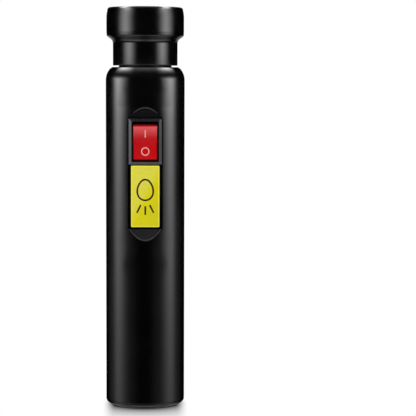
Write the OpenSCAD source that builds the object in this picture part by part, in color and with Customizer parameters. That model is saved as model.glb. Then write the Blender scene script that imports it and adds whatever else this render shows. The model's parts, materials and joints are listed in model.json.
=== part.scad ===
// Egg candling lamp: a hand-held tube with a cup that an egg rests in, a light under the cup,
// a rocker switch on a flat in the front and a direct-current inlet under the base.
// Millimetres. The origin is on the lamp's axis at the table, +Z is up and the switch faces -Y.

/* [Handle] */
// Outside diameter of the handle
body_d = 35.5; // [33:0.1:38]
// Height of the shoulder's flat top above the table
body_h = 152.2; // [146:0.1:162]
// Wall thickness of the handle
body_wall = 3; // [2.8:0.1:3.6]
// Radius of the shoulder's curve
shoulder_r = 7.9; // [7:0.1:10]
// Height of the shoulder's curve
shoulder_h = 5.9; // [4:0.1:6.5]
// Thickness of the wall that the neck is screwed into
shoulder_wall = 5.7; // [4:0.1:7]
// Open seam between the handle and the base cap
seam = 0.1; // [0.05:0.05:0.3]

/* [Front flat] */
// Distance from the shoulder's top down to the flat's upper end
flat_drop = 22.1; // [18:0.1:40]
// Bare edge of the flat at each side of the switch
flat_side = 0.3; // [0.2:0.05:0.8]
// Length of the sloping scoop at the flat's upper end
upper_ramp_len = 4.3; // [3.5:0.1:7]
// Length of the sloping scoop at the flat's lower end
lower_ramp_len = 4.9; // [3.5:0.1:7]
// Step down from each scoop to the flat
ramp_step = 0.3; // [0.1:0.05:0.5]
// Bare edge of the flat above and below the switch
flat_edge = 0.5; // [0.3:0.1:1]

/* [Label] */
// Bare edge of the flat at each side of the label
label_side = 1.3; // [0.6:0.05:3]
// Height of the label
label_h = 27.3; // [20:0.1:32]
// Bare edge of the flat below the label
label_foot = 0.9; // [0.4:0.1:2]
// Thickness of the label
label_t = 0.2; // [0.1:0.05:0.4]

/* [Egg cup] */
// How far the cup stands out past its collar
cove_w = 2.9; // [1.5:0.1:4]
// Height of the cup's wall above the cove
rim_h = 12.7; // [10:0.1:16]
// Height of the stretch near the rim that draws in
rim_taper_h = 4.9; // [3:0.1:7]
// How far the rim draws in on each side
rim_draw = 0.45; // [0.2:0.05:0.8]
// Radius of the rim's outer edge
rim_outer_r = 0.55; // [0.3:0.05:0.8]
// Radius of the rim's inner edge
rim_inner_r = 0.5; // [0.3:0.05:0.6]
// Wall thickness of the cup
cup_wall = 2.2; // [1.8:0.1:3]
// Height of the sloping cove under the cup
cove_h = 2.1; // [1.6:0.1:4]
// Radius of the hollow between the collar and the cove
cove_r = 2.3; // [0.5:0.1:2.6]
// Wall thickness of the collar under the cup
collar_wall = 2.6; // [1.5:0.1:3.5]
// Height of the collar
collar_h = 11.1; // [8.6:0.1:12]
// Depth to which the neck goes up into the cup
cup_grip = 12.1; // [9.8:0.1:12.4]
// Thickness of the web that rests on the neck
cup_web = 1.2; // [0.8:0.1:2]
// How far the web laps over the neck's bore round the light hole
light_lip = 0.7; // [0.3:0.1:3]
// Height of the funnel from the light hole to the cup's wall
funnel_h = 4.7; // [3.5:0.1:6]

/* [Neck] */
// How far the neck stands in from the outside of the handle
neck_step = 5.9; // [4:0.05:7]
// Gap between the shoulder and the collar
neck_gap = 0.7; // [0.6:0.1:3]
// Wall thickness of the neck
neck_wall = 1.95; // [1.7:0.05:2.4]
// Length of the neck below the shoulder's top
neck_drop = 14.8; // [13:0.1:18]
// Height of the flange that seats under the shoulder
neck_flange_h = 2.5; // [1.5:0.1:3.5]

/* [Light] */
// Thickness of the front lens
lens_t = 1.5; // [1:0.1:2]
// Height of the ring that holds the lens
lens_ring_h = 1.4; // [1:0.1:2]
// Thickness of the lens seal's cord
lens_seal_d = 0.8; // [0.6:0.05:0.9]
// Width of the ledge that the lens seal lies on
lens_ledge = 1; // [0.9:0.05:1.3]
// Height of the heat sink
sink_h = 7.5; // [6.5:0.1:8]
// Height of the heat sink above the neck's lower end
sink_inset = 2; // [1:0.1:3]
// Thickness of the LED board
board_t = 1.6; // [1:0.1:2]
// Side of the square LED package
led_w = 3.5; // [3:0.1:5]
// Thickness of the LED package
led_t = 0.8; // [0.5:0.1:1.2]
// Diameter of the LED's clear dome
dome_d = 2.8; // [2:0.1:3.4]
// Wall thickness of the reflector
reflector_wall = 0.7; // [0.5:0.05:1]
// Gap between the LED's corners and the reflector's hole
led_gap = 0.35; // [0.2:0.05:1]

/* [Switch] */
// Width of the switch bezel
bezel_w = 14.6; // [14.4:0.1:15.2]
// Height of the switch bezel
bezel_h = 20.3; // [20:0.1:23]
// Thickness of the switch bezel
bezel_t = 1.9; // [1.5:0.1:2.4]
// Width of the bezel's sloping rim
bezel_rim = 1.2; // [0.5:0.1:1.3]
// Height of the bezel's square outer edge
bezel_edge = 0.5; // [0.3:0.1:0.9]
// How far the bezel laps over the panel at each side
bezel_lap = 0.95; // [0.8:0.05:1.5]
// How far the bezel laps over the panel at each end
bezel_end_lap = 0.65; // [0.5:0.05:1.5]
// Wall thickness of the switch housing
switch_wall = 0.7; // [0.6:0.05:0.9]
// Gap round the rocker
rocker_gap = 0.3; // [0.2:0.05:0.5]
// Height of the rocker's two tips above its pivot, level
rocker_tip = 3.5; // [3:0.1:4.2]
// Height of the rocker's hollow middle above its pivot, level
rocker_valley = 2.1; // [1.7:0.1:2.6]
// Depth of the rocker's skirt below its pivot
rocker_skirt = 2.2; // [1.8:0.1:2.6]
// Angle from off to on of the rocker
rocker_swing = 20; // [12:1:22]
// Angle from off to on of the contact lever
lever_swing = 16; // [10:1:16]
// Depth of the rocker's pivot behind the flat
pivot_depth = 0.8; // [0.8:0.1:1.2]
// Distance from the rocker's pivot to the plunger's tip
plunger_reach = 8; // [7.4:0.1:8.8]
// Length of each terminal outside the housing
terminal_out = 8; // [7:0.1:9]

/* [Base and inlet] */
// Height of the base cap's visible edge
cap_t = 1.8; // [1.5:0.1:3]
// Radius of the base cap's lower edge
cap_edge_r = 1.6; // [0.8:0.1:1.8]
// Height of the plug that goes up into the handle
plug_h = 6.7; // [5.5:0.1:9]
// Wall thickness of that plug
plug_wall = 2.1; // [1.9:0.1:2.6]
// Thickness of the base cap's seal cord
cap_seal_d = 1.1; // [0.8:0.1:1.3]
// Diameter of the recess round the inlet
recess_d = 14; // [13:0.1:16]
// Depth of the recess round the inlet
recess_depth = 4.2; // [4.1:0.1:5]
// Thickness of the recess's floor
recess_floor = 3.2; // [2.6:0.1:4]
// Outside diameter of the inlet's barrel
jack_d = 7.9; // [7.4:0.1:8.6]
// Diameter of the inlet's socket
socket_d = 5.9; // [5.6:0.1:6.2]
// Depth of the inlet's socket
socket_depth = 9.3; // [8.5:0.1:10.5]
// Diameter of the inlet's centre pin
pin_d = 2; // [1.6:0.05:2.2]

/* [Wiring] */
// Outside diameter of the insulated leads
lead_d = 1.6; // [1.2:0.05:1.7]

/* [Hidden] */
// Number of sides on round shapes
$fn = 96;
// Overrun that takes each cut clear through its wall
over = 1;
// Clearance of pieces that slide together once or turn on each other
fit = 0.05;
// Clearance of moving or loose pieces
play = 0.3;

// Handle
body_r = body_d / 2;
body_in_r = body_r - body_wall;
shoulder_z = body_h - shoulder_h;
ceiling_z = body_h - shoulder_wall;
body_low_z = cap_t + seam;
flat_top_z = body_h - flat_drop;

// Front flat, with the switch at its top and the label below
flat_w = bezel_w + 2 * flat_side;
flat_y = sqrt(pow(body_r, 2) - pow(flat_w / 2, 2));
label_w = flat_w - 2 * label_side;
switch_z = flat_top_z - flat_edge - bezel_h / 2;
label_top_z = switch_z - bezel_h / 2 - flat_edge;
flat_low_z = label_top_z - label_h - label_foot;
panel_depth = flat_y - body_in_r + body_wall;

// Neck and egg cup
neck_r = body_r - neck_step;
neck_in_r = neck_r - neck_wall;
collar_r = neck_r + fit + collar_wall;
cup_r = collar_r + cove_w;
light_r = neck_in_r - light_lip;
collar_z = body_h + neck_gap;
cove_z = collar_z + collar_h;
rim_z = cove_z + cove_h;
top_z = rim_z + rim_h;
mouth_r = cup_r - cup_wall;
seat_z = collar_z + cup_grip;
light_z = seat_z + cup_web;
collar_bevel = 0.2;
rim_corner_r = 0.7;
cove_slope = atan2(cove_h, cove_w);
cove_bend = (90 - cove_slope) / 2;

neck_low_z = body_h - neck_drop;
lens_bore_r = neck_in_r + lens_ledge;
ledge_z = seat_z - lens_ring_h - lens_t - lens_seal_d;

// Light
lens_r = lens_bore_r - fit;
ring_wall = 1.9;
ring_slot_w = 1.4;
ring_slot_share = 0.5;
sink_z = neck_low_z + sink_inset;
board_z = sink_z + sink_h;
board_top_z = board_z + board_t;
sink_r = neck_in_r - fit;
board_r = sink_r - play;
reflector_hole_r = led_w / sqrt(2) + led_gap;
reflector_foot_r = reflector_hole_r + reflector_wall;
lead_place = (reflector_foot_r + board_r) / 2;
lead_hole_r = lead_d / 2 + play;
screw_r = 0.7;
screw_len = 5;
screw_head_r = 1.4;
screw_head_h = 1.1;
screw_drive_r = 0.65;
screw_edge = 0.25;
screw_place = board_r - screw_head_r - screw_edge;
screw_drive_share = 0.6;
reflector_r = neck_in_r - fit;
reflector_top_z = ledge_z - fit;
reflector_foot_h = 1.2;
reflector_flange_h = 0.8;
reflector_steps = 10;
reflector_curve = 0.6;

// Switch, in a frame on the flat with +Y into the handle
panel_gap = 0.1;
switch_w = bezel_w - 2 * bezel_lap;
switch_h = bezel_h - 2 * bezel_end_lap;
cavity_w = switch_w - 2 * switch_wall;
cavity_h = switch_h - 2 * switch_wall;
rocker_w = cavity_w - 2 * rocker_gap;
rocker_end_r = cavity_h / 2 - rocker_gap;
tip_place = sqrt(pow(rocker_end_r, 2) - pow(rocker_tip, 2));
tip_rise = rocker_tip - rocker_valley;
face_r = (pow(tip_place, 2) + pow(tip_rise, 2)) / (2 * tip_rise);
trunnion_r = 0.7;
trunnion_len = rocker_gap + switch_wall - fit;
post_r = 2.1;
plunger_out = 2.4;
post_len = plunger_reach - plunger_out;
spring_bore_r = 1.3;
spring_top = 1;
plunger_play = 0.1;
plunger_r = spring_bore_r - plunger_play;
spring_len = 3.2;
plunger_len = plunger_reach - spring_top - spring_len;
spring_wire_r = 0.18;
spring_turns = 6;
spring_rings = 8;
spring_sides = 6;
spring_room = 0.15;
spring_r = spring_bore_r - spring_wire_r - spring_room;
lever_gap = 0.2;
lever_t = 0.6;
lever_w = 4;
lever_arm = 5.5;
lever_pin_r = 0.5;
lever_pivot = pivot_depth + plunger_reach + lever_gap + lever_t / 2;
rivet_r = 1.1;
rivet_t = 0.5;
rivet_place_share = 0.85;
rivet_place = rivet_place_share * lever_arm;
ear_t = 0.6;
ear_r = 1;
terminal_w = 4.8;
terminal_t = 0.8;
load_place = 6.2;
contact_gap = 0.1;
contact_depth = lever_pivot + lever_t / 2 + rivet_t + (rivet_place + rivet_r) * sin(lever_swing / 2)
                + contact_gap;
floor_depth = contact_depth + terminal_t + fit;
floor_t = 1.2;
switch_depth = floor_depth + floor_t;
bridge_depth = lever_pivot + ear_r + play;
clip_w = 6;
clip_len = 3;
clip_out = 0.6;
clip_behind_share = 0.25;
clip_depth = flat_y - body_in_r + clip_behind_share * body_wall;

// Spade connectors on the terminals
conn_wall = 0.7;
conn_end = 0.6;
conn_t = 2.6;
conn_gap = 1;
conn_len = terminal_out - conn_gap + conn_end;
barrel_len = 3;
barrel_wall = 0.65;
conn_y = switch_depth - flat_y + conn_gap;
terminal_end_y = switch_depth - flat_y + terminal_out;
barrel_y = conn_y + conn_len / 2;
barrel_x = terminal_w / 2 + conn_wall;
barrel_end_x = barrel_x + barrel_len;

// Base and inlet
plug_r = body_in_r - fit;
plug_in_r = plug_r - plug_wall;
cap_plate = 2.6;
boss_wall = 2;
boss_r = recess_d / 2 + boss_wall;
cap_edge = min(cap_edge_r, cap_t);
cap_seal_share = 0.6;
cap_seal_z = cap_t + cap_seal_share * plug_h;
cap_groove_r = plug_r - cap_seal_d - fit;
inlet_z = recess_depth;
jack_r = jack_d / 2;
jack_flange_out = 1.5;
jack_flange_r = jack_r + jack_flange_out;
jack_flange_t = 1;
floor_top_z = recess_depth + recess_floor;
washer_t = 0.6;
washer_out = 2;
washer_r = jack_r + washer_out;
nut_t = 2.2;
nut_out = 2.6;
nut_r = jack_r + nut_out;
jack_end_wall = 2.4;
jack_top_z = inlet_z + socket_depth + jack_end_wall;
pin_tip_inset = 0.8;
pin_root_out = 0.4;
pin_root_up = 0.5;
pin_root_z = inlet_z + socket_depth - pin_root_up;
tab_w = 1.8;
tab_t = 0.5;
tab_len = 5;
tab_place = 2.2;
tab_top_z = jack_top_z + tab_len;
tab_root_share = 0.6;
tab_root_z = jack_top_z - tab_root_share * jack_end_wall;

// Wiring
lead_r = lead_d / 2;
lead_sides = 8;
lead_steps = 4;
lead_wall_gap = 0.6;
lead_turn_r = 2.2;
lead_back_y = body_in_r - lead_r - lead_wall_gap;
lead_low_z = tab_top_z + fit;
lead_top_z = board_top_z + play;
load_z = switch_z - load_place;
sleeve_bore_r = max(norm([tab_w, tab_t]) / 2, lead_r) + fit;
sleeve_wall = 0.4;
sleeve_len = 5;
sleeve_low_share = 0.4;
sleeve_low_z = tab_top_z - sleeve_low_share * tab_len;
sleeve_top_z = sleeve_low_z + sleeve_len;
resistor_d = 3.2;
resistor_len = 9;
resistor_drop = 1;
resistor_gap = 1;
resistor_y = switch_depth - flat_y + resistor_gap + resistor_d / 2;
resistor_top_z = neck_low_z - resistor_drop;
resistor_low_z = resistor_top_z - resistor_len;
// Places along the leads, as shares of the handle's inner radius, of the leads' back line and of the rise
supply_shares = [[0.2, 0.02, 0.06], [0.36, 0.1, 0.18], [0.52, 0.18, 0.4],
                 [0.58, 0.2, 0.64], [0.58, 0.18, 0.88]];
return_shares = [[-0.18, 0.12, 0.06], [-0.1, 0.46, 0.16], [0.04, 0.8, 0.32], [0.16, 0.88, 0.56],
                 [0.3, 0.86, 0.76], [0.42, 0.56, 0.88]];

// A tube round the Z axis between two heights
module ring(outer_r, inner_r, low_z, high_z) {
    rotate_extrude()
        translate([inner_r, low_z])
            square([outer_r - inner_r, high_z - low_z]);
}

// A rod of one radius between two heights at a place
module rod(r, place, low_z, high_z) {
    translate([place[0], place[1], low_z])
        cylinder(r = r, h = high_z - low_z);
}

// A block centred on X and Z, between two depths along Y
module block_y(size_x, size_z, low_y, high_y) {
    translate([-size_x / 2, low_y, -size_z / 2])
        cube([size_x, high_y - low_y, size_z]);
}

// A rod along Y between two depths
module rod_y(r, low_y, high_y) {
    translate([0, low_y, 0])
        rotate([-90, 0, 0])
            cylinder(r = r, h = high_y - low_y);
}

// A rod along X, centred on X
module rod_x(r, length) {
    translate([-length / 2, 0, 0])
        rotate([0, 90, 0])
            cylinder(r = r, h = length);
}

// The switch's frame: on the flat, level with the middle of the bezel, +Y into the handle
module at_switch() {
    translate([0, -flat_y, switch_z])
        children();
}

// The rocker's frame at rest: on its pivot, with the lower end pressed in
module at_rocker() {
    at_switch()
        translate([0, pivot_depth, 0])
            rotate([rocker_swing / 2, 0, 0])
                children();
}

// Points on an arc round a centre, from one angle to another
function arc(centre, r, from, to, steps) =
    [for (i = [0:steps])
         let (a = from + (to - from) * i / steps)
         centre + r * [cos(a), sin(a)]];

// One point of a smooth curve through four points, between the second and the third
function curve_point(a, b, c, d, t) =
    let (span = norm(c - b), leave = span * unit(c - a), arrive = span * unit(d - b), s = 1 - t)
    s * s * (1 + 2 * t) * b + t * s * s * leave + t * t * (3 - 2 * t) * c - t * t * s * arrive;

// A smooth curve through a route's points, with each stretch cut into steps
function smooth(route, steps) = let (last = len(route) - 1)
    concat([for (i = [0:last - 1], s = [0:steps - 1])
                let (before = route[max(i - 1, 0)], after = route[min(i + 2, last)])
                curve_point(before, route[i], route[i + 1], after, s / steps)],
           [route[last]]);

function unit(v) = v / norm(v);

// The direction of a path at each of its points
function headings(path) = let (last = len(path) - 1)
    [for (i = [0:last]) unit(path[min(i + 1, last)] - path[max(i - 1, 0)])];

// A sideways direction at each point, carried along without twist
function sideways(ways, i, side) =
    let (here = unit(side - (side * ways[i]) * ways[i]))
    i == len(ways) - 1 ? [here] : concat([here], sideways(ways, i + 1, here));

// A round tube swept along a path, closed at both ends
module tube_along(path, r, sides) {
    ways = headings(path);
    axes = sideways(ways, 0, [1, 0.3, 0.2]);
    count = len(path);
    points = [for (i = [0:count - 1], k = [0:sides - 1])
                  let (a = 360 * k / sides, across = cross(ways[i], axes[i]))
                  path[i] + r * (cos(a) * axes[i] + sin(a) * across)];
    walls = [for (i = [0:count - 2], k = [0:sides - 1])
                 let (n = (k + 1) % sides, p = i * sides, q = p + sides)
                 each [[p + k, q + k, q + n], [p + k, q + n, p + n]]];
    low_end = [for (k = [1:sides - 2]) [0, k, k + 1]];
    high_end = [for (k = [1:sides - 2]) let (p = (count - 1) * sides) [p, p + k + 1, p + k]];
    polyhedron(points, concat(walls, low_end, high_end), convexity = 10);
}

// Half section of the handle: the wall, the round shoulder and the hole for the neck
module handle_section() {
    difference() {
        union() {
            translate([0, body_low_z])
                square([body_r, shoulder_z - body_low_z]);
            translate([0, shoulder_z])
                square([body_r - shoulder_r, shoulder_h]);
            intersection() {
                translate([body_r - shoulder_r, shoulder_z])
                    circle(r = shoulder_r);
                translate([0, shoulder_z])
                    square([body_r, shoulder_h]);
            }
        }
        square([body_in_r, ceiling_z]);
        square([neck_r + fit, body_h + over]);
    }
}

// What is cut from the front: the flat, and a scoop that slopes out of the handle at each end
module front_cut() {
    front = body_r + over;
    half = (flat_top_z - flat_low_z) / 2;
    rise = body_r - flat_y - ramp_step;
    reach = (front - flat_y - ramp_step) / rise;
    section = [[flat_y, -half], [flat_y + ramp_step, -half], [front, -half - reach * lower_ramp_len],
               [front, half + reach * upper_ramp_len], [flat_y + ramp_step, half], [flat_y, half]];
    translate([-body_r, 0, (flat_top_z + flat_low_z) / 2])
        rotate([90, 0, 90])
            linear_extrude(2 * body_r)
                polygon([for (p = section) [-p[0], p[1]]]);
}

module body_tube() {
    color("#141414")
        difference() {
            rotate_extrude()
                handle_section();
            front_cut();
            at_switch()
                block_y(switch_w + 2 * panel_gap, switch_h + 2 * panel_gap, -over, panel_depth);
        }
}

module base_cap() {
    color("#161616")
        difference() {
            rotate_extrude()
                difference() {
                    union() {
                        square([body_r - cap_edge, cap_t]);
                        translate([0, cap_edge])
                            square([body_r, cap_t - cap_edge]);
                        translate([body_r - cap_edge, cap_edge])
                            intersection() {
                                circle(r = cap_edge);
                                translate([0, -cap_edge])
                                    square(cap_edge);
                            }
                        square([plug_r, cap_t + plug_h]);
                    }
                    translate([boss_r, cap_plate])
                        square([plug_in_r - boss_r, cap_t + plug_h]);
                    translate([0, floor_top_z])
                        square([boss_r, cap_t + plug_h]);
                    translate([cap_groove_r, cap_seal_z - cap_seal_d / 2 - fit])
                        square([cap_seal_d + over, cap_seal_d + 2 * fit]);
                    translate([0, -over])
                        square([recess_d / 2, recess_depth + over]);
                }
            rod(jack_flange_r + fit, [0, 0], recess_depth - over, recess_depth + jack_flange_t);
            rod(jack_r + fit, [0, 0], recess_depth, floor_top_z + over);
        }
}

module cap_seal() {
    color("#0b0b0b")
        rotate_extrude()
            translate([plug_r - cap_seal_d / 2 + fit / 2, cap_seal_z])
                circle(d = cap_seal_d - fit);
}

module dc_jack() {
    color("#1b1b1b")
        difference() {
            union() {
                rod(jack_flange_r, [0, 0], inlet_z, inlet_z + jack_flange_t);
                rod(jack_r, [0, 0], inlet_z, jack_top_z);
            }
            rod(socket_d / 2, [0, 0], inlet_z - over, inlet_z + socket_depth);
            rod(pin_d / 2 + pin_root_out + fit, [0, 0], inlet_z, jack_top_z + over);
            translate([-tab_place, 0, 0])
                tab_shape(fit, tab_root_z);
        }
}

// A solder tab standing on the inlet's end, with room round it
module tab_shape(room, low_z) {
    translate([-tab_t / 2 - room, -tab_w / 2 - room, low_z])
        cube([tab_t + 2 * room, tab_w + 2 * room, tab_top_z - low_z]);
}

module jack_pin() {
    pin_r = pin_d / 2;
    tip_z = inlet_z + pin_tip_inset + pin_r;
    color("#d8d2c0")
        union() {
            rod(pin_r, [0, 0], tip_z, pin_root_z);
            rod(pin_r + pin_root_out, [0, 0], pin_root_z, jack_top_z + tab_t);
            translate([0, 0, tip_z])
                sphere(r = pin_r);
            translate([0, -tab_w / 2, jack_top_z])
                cube([tab_place + tab_t / 2, tab_w, tab_t]);
            translate([tab_place, 0, 0])
                tab_shape(0, jack_top_z);
        }
}

module jack_tab() {
    color("#d8d2c0")
        translate([-tab_place, 0, 0])
            tab_shape(0, tab_root_z + fit);
}

module jack_washer() {
    color("#c8c8c8")
        ring(washer_r, jack_r + fit, floor_top_z, floor_top_z + washer_t);
}

module jack_nut() {
    color("#c8c8c8")
        difference() {
            translate([0, 0, floor_top_z + washer_t])
                cylinder(r = nut_r, h = nut_t, $fn = 6);
            rod(jack_r + fit, [0, 0], floor_top_z, floor_top_z + washer_t + nut_t + over);
        }
}

module neck_tube() {
    color("#121212")
        difference() {
            union() {
                rod(neck_r, [0, 0], neck_low_z, seat_z);
                rod(body_in_r - play, [0, 0], ceiling_z - neck_flange_h, ceiling_z);
            }
            rod(neck_in_r, [0, 0], neck_low_z - over, seat_z + over);
            rod(lens_bore_r, [0, 0], ledge_z, seat_z + over);
        }
}

// Half section of the cup: collar, cove, wall and rim outside, then wall, funnel, light hole and grip inside
function cup_outline() =
    let (lip_r = cup_r - rim_draw, steps = 8)
    concat([[neck_r + fit, collar_z], [collar_r - collar_bevel, collar_z]],
           [[collar_r, collar_z + collar_bevel]],
           arc([collar_r + cove_r, cove_z - cove_r * tan(cove_bend)], cove_r, 180, 90 + cove_slope, 5),
           arc([cup_r - rim_corner_r, rim_z + rim_corner_r * tan(cove_bend)], rim_corner_r,
               cove_slope - 90, 0, 4),
           [for (i = [0:steps]) let (t = i / steps)
                [cup_r - rim_draw * t * t, top_z - rim_taper_h + (rim_taper_h - rim_outer_r) * t]],
           arc([lip_r - rim_outer_r, top_z - rim_outer_r], rim_outer_r, 0, 90, 6),
           arc([mouth_r + rim_inner_r, top_z - rim_inner_r], rim_inner_r, 90, 180, 6),
           [[mouth_r, light_z + funnel_h], [light_r, light_z]],
           [[light_r, seat_z], [neck_r + fit, seat_z]]);

module egg_cup() {
    color("#0e0e0e")
        rotate_extrude()
            polygon(cup_outline());
}

module front_lens() {
    color("#dfe8ee")
        rod(lens_r, [0, 0], seat_z - lens_ring_h - lens_t, seat_z - lens_ring_h);
}

module lens_ring() {
    slot_h = lens_ring_h * ring_slot_share;
    color("#202020")
        difference() {
            ring(lens_r, lens_r - ring_wall, seat_z - lens_ring_h, seat_z);
            translate([-lens_r - over, -ring_slot_w / 2, seat_z - slot_h])
                cube([2 * (lens_r + over), ring_slot_w, slot_h + over]);
        }
}

module lens_seal() {
    color("#0b0b0b")
        rotate_extrude()
            translate([neck_in_r + lens_ledge / 2, ledge_z + lens_seal_d / 2])
                circle(d = lens_seal_d - fit);
}

// Half section of the reflector: a bowl that opens upwards, with a foot on the board and a flange at the top
function bowl(t, r_low, r_high) = r_low + (r_high - r_low) * pow(t, reflector_curve);
function reflector_outline() =
    let (low_r = reflector_hole_r, high_r = reflector_r - reflector_wall,
         low_z = board_top_z + reflector_foot_h, rise = reflector_top_z - low_z, n = reflector_steps)
    concat([[low_r, board_top_z]],
           [for (i = [0:n]) [bowl(i / n, low_r, high_r), low_z + rise * i / n]],
           [[reflector_r, reflector_top_z], [reflector_r, reflector_top_z - reflector_flange_h]],
           [for (i = [n - 1:-1:0]) let (z = low_z - reflector_wall / 2 + rise * i / n)
                [bowl(i / n, low_r, high_r) + reflector_wall, z]],
           [[reflector_foot_r, board_top_z]]);

module reflector() {
    color("#d9dce0")
        rotate_extrude()
            polygon(reflector_outline());
}

module led_package() {
    color("#efe9c8")
        translate([-led_w / 2, -led_w / 2, board_top_z])
            cube([led_w, led_w, led_t]);
}

module led_dome() {
    color("#f4e27a")
        intersection() {
            translate([0, 0, board_top_z + led_t])
                sphere(d = dome_d);
            rod(dome_d, [0, 0], board_top_z + led_t, board_top_z + led_t + dome_d);
        }
}

// Holes shared by the board and the heat sink: two for the leads and two for the screws
module lead_holes(low_z, high_z) {
    for (side = [-1, 1])
        rod(lead_hole_r, [side * lead_place, 0], low_z, high_z);
}

module led_board() {
    color("#e9ecef")
        difference() {
            rod(board_r, [0, 0], board_z, board_top_z);
            lead_holes(board_z - over, board_top_z + over);
            for (side = [-1, 1])
                rod(screw_r + play, [0, side * screw_place], board_z - over, board_top_z + over);
        }
}

module heat_sink() {
    color("#b9bdc2")
        difference() {
            rod(sink_r, [0, 0], sink_z, board_z);
            lead_holes(sink_z - over, board_z + over);
            for (side = [-1, 1])
                rod(screw_r + fit, [0, side * screw_place], board_top_z - screw_len - play, board_z + over);
        }
}

module led_screws() {
    drive_h = screw_head_h * screw_drive_share;
    color("#c4c7cb")
        for (side = [-1, 1])
            difference() {
                union() {
                    rod(screw_r, [0, side * screw_place], board_top_z - screw_len, board_top_z);
                    rod(screw_head_r, [0, side * screw_place], board_top_z, board_top_z + screw_head_h);
                }
                translate([0, side * screw_place, board_top_z + screw_head_h - drive_h])
                    cylinder(r = screw_drive_r, h = drive_h + over, $fn = 6);
            }
}

// The bezel: a plate whose rim slopes on all four sides and meets in mitred corners
module bezel_shape() {
    function slope(size) = [[-size / 2, 0], [size / 2, 0], [size / 2, bezel_edge],
                            [size / 2 - bezel_rim, bezel_t], [bezel_rim - size / 2, bezel_t],
                            [-size / 2, bezel_edge]];
    rotate([90, 0, 0])
        intersection() {
            translate([0, bezel_h / 2, 0])
                rotate([90, 0, 0])
                    linear_extrude(bezel_h)
                        polygon(slope(bezel_w));
            translate([-bezel_w / 2, 0, 0])
                rotate([90, 0, 90])
                    linear_extrude(bezel_w)
                        polygon(slope(bezel_h));
        }
}

// A sprung wedge on the housing's end that holds the panel from behind
module clip_shape() {
    translate([-clip_w / 2, 0, switch_h / 2])
        rotate([90, 0, 90])
            linear_extrude(clip_w)
                polygon([[clip_depth, -switch_wall], [clip_depth, clip_out],
                         [clip_depth + clip_len, -switch_wall]]);
}

// Slot in the housing's floor for a terminal
module terminal_slot(place) {
    translate([0, 0, place])
        block_y(terminal_w + 2 * fit, terminal_t + 2 * fit, floor_depth - over, switch_depth + over);
}

module switch_housing() {
    color("#101010")
        at_switch()
            difference() {
                union() {
                    bezel_shape();
                    block_y(switch_w, switch_h, 0, switch_depth);
                    clip_shape();
                    mirror([0, 0, 1])
                        clip_shape();
                }
                block_y(cavity_w, cavity_h, -bezel_t - over, floor_depth);
                translate([0, pivot_depth, 0])
                    rod_x(trunnion_r + fit, switch_w + over);
                terminal_slot(0);
                terminal_slot(-load_place);
            }
}

// Side view of the rocker on its pivot, level: round ends, a hollow face and a flat skirt
module rocker_section() {
    difference() {
        intersection() {
            circle(r = rocker_end_r);
            translate([-rocker_end_r, -rocker_skirt])
                square([2 * rocker_end_r, rocker_skirt + rocker_tip]);
        }
        translate([0, rocker_valley + face_r])
            circle(r = face_r);
    }
}

module rocker() {
    color("#c8101c")
        at_rocker()
            difference() {
                union() {
                    translate([-rocker_w / 2, 0, 0])
                        rotate([90, 0, 90])
                            linear_extrude(rocker_w)
                                rotate([0, 0, 90])
                                    rocker_section();
                    rod_x(trunnion_r, rocker_w + 2 * trunnion_len);
                    rod_y(post_r, 0, post_len);
                }
                rod_y(spring_bore_r, spring_top, post_len + over);
            }
}

module rocker_plunger() {
    color("#e7dfc6")
        at_rocker()
            union() {
                rod_y(plunger_r, plunger_reach - plunger_len, plunger_reach - plunger_r);
                translate([0, plunger_reach - plunger_r, 0])
                    sphere(r = plunger_r);
            }
}

// The coil between the rocker's bore and the plunger
function spring_path() =
    let (low = spring_top + spring_wire_r + fit, high = spring_top + spring_len - spring_wire_r - fit,
         count = spring_turns * spring_rings)
    [for (i = [0:count]) let (a = 360 * i / spring_rings)
         [spring_r * cos(a), low + (high - low) * i / count, spring_r * sin(a)]];

module plunger_spring() {
    color("#b8bcc2")
        at_rocker()
            tube_along(spring_path(), spring_wire_r, spring_sides);
}

module contact_lever() {
    color("#c9823f")
        at_switch()
            translate([0, lever_pivot, 0])
                rotate([-lever_swing / 2, 0, 0])
                    union() {
                        block_y(lever_w, 2 * lever_arm, -lever_t / 2, lever_t / 2);
                        rod_x(lever_pin_r, lever_w + 2 * (play + ear_t));
                        translate([0, 0, -rivet_place])
                            rod_y(rivet_r, 0, lever_t / 2 + rivet_t);
                    }
}

module common_terminal() {
    ear_x = lever_w / 2 + play;
    color("#c9a24f")
        at_switch()
            difference() {
                union() {
                    for (side = [-1, 1])
                        translate([side * (ear_x + ear_t / 2), 0, 0])
                            union() {
                                block_y(ear_t, 2 * ear_r, lever_pivot, bridge_depth + terminal_t);
                                translate([0, lever_pivot, 0])
                                    rod_x(ear_r, ear_t);
                            }
                    block_y(2 * (ear_x + ear_t), 2 * ear_r, bridge_depth, bridge_depth + terminal_t);
                    block_y(terminal_w, terminal_t, bridge_depth, switch_depth + terminal_out);
                }
                translate([0, lever_pivot, 0])
                    rod_x(lever_pin_r + fit, 2 * (ear_x + ear_t) + over);
            }
}

module load_terminal() {
    pad = load_place - rivet_place + rivet_r;
    color("#c9a24f")
        at_switch()
            union() {
                translate([-terminal_w / 2, contact_depth, -load_place - terminal_t / 2])
                    cube([terminal_w, terminal_t, pad + terminal_t / 2]);
                translate([0, 0, -load_place])
                    block_y(terminal_w, terminal_t, contact_depth, switch_depth + terminal_out);
            }
}

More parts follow.
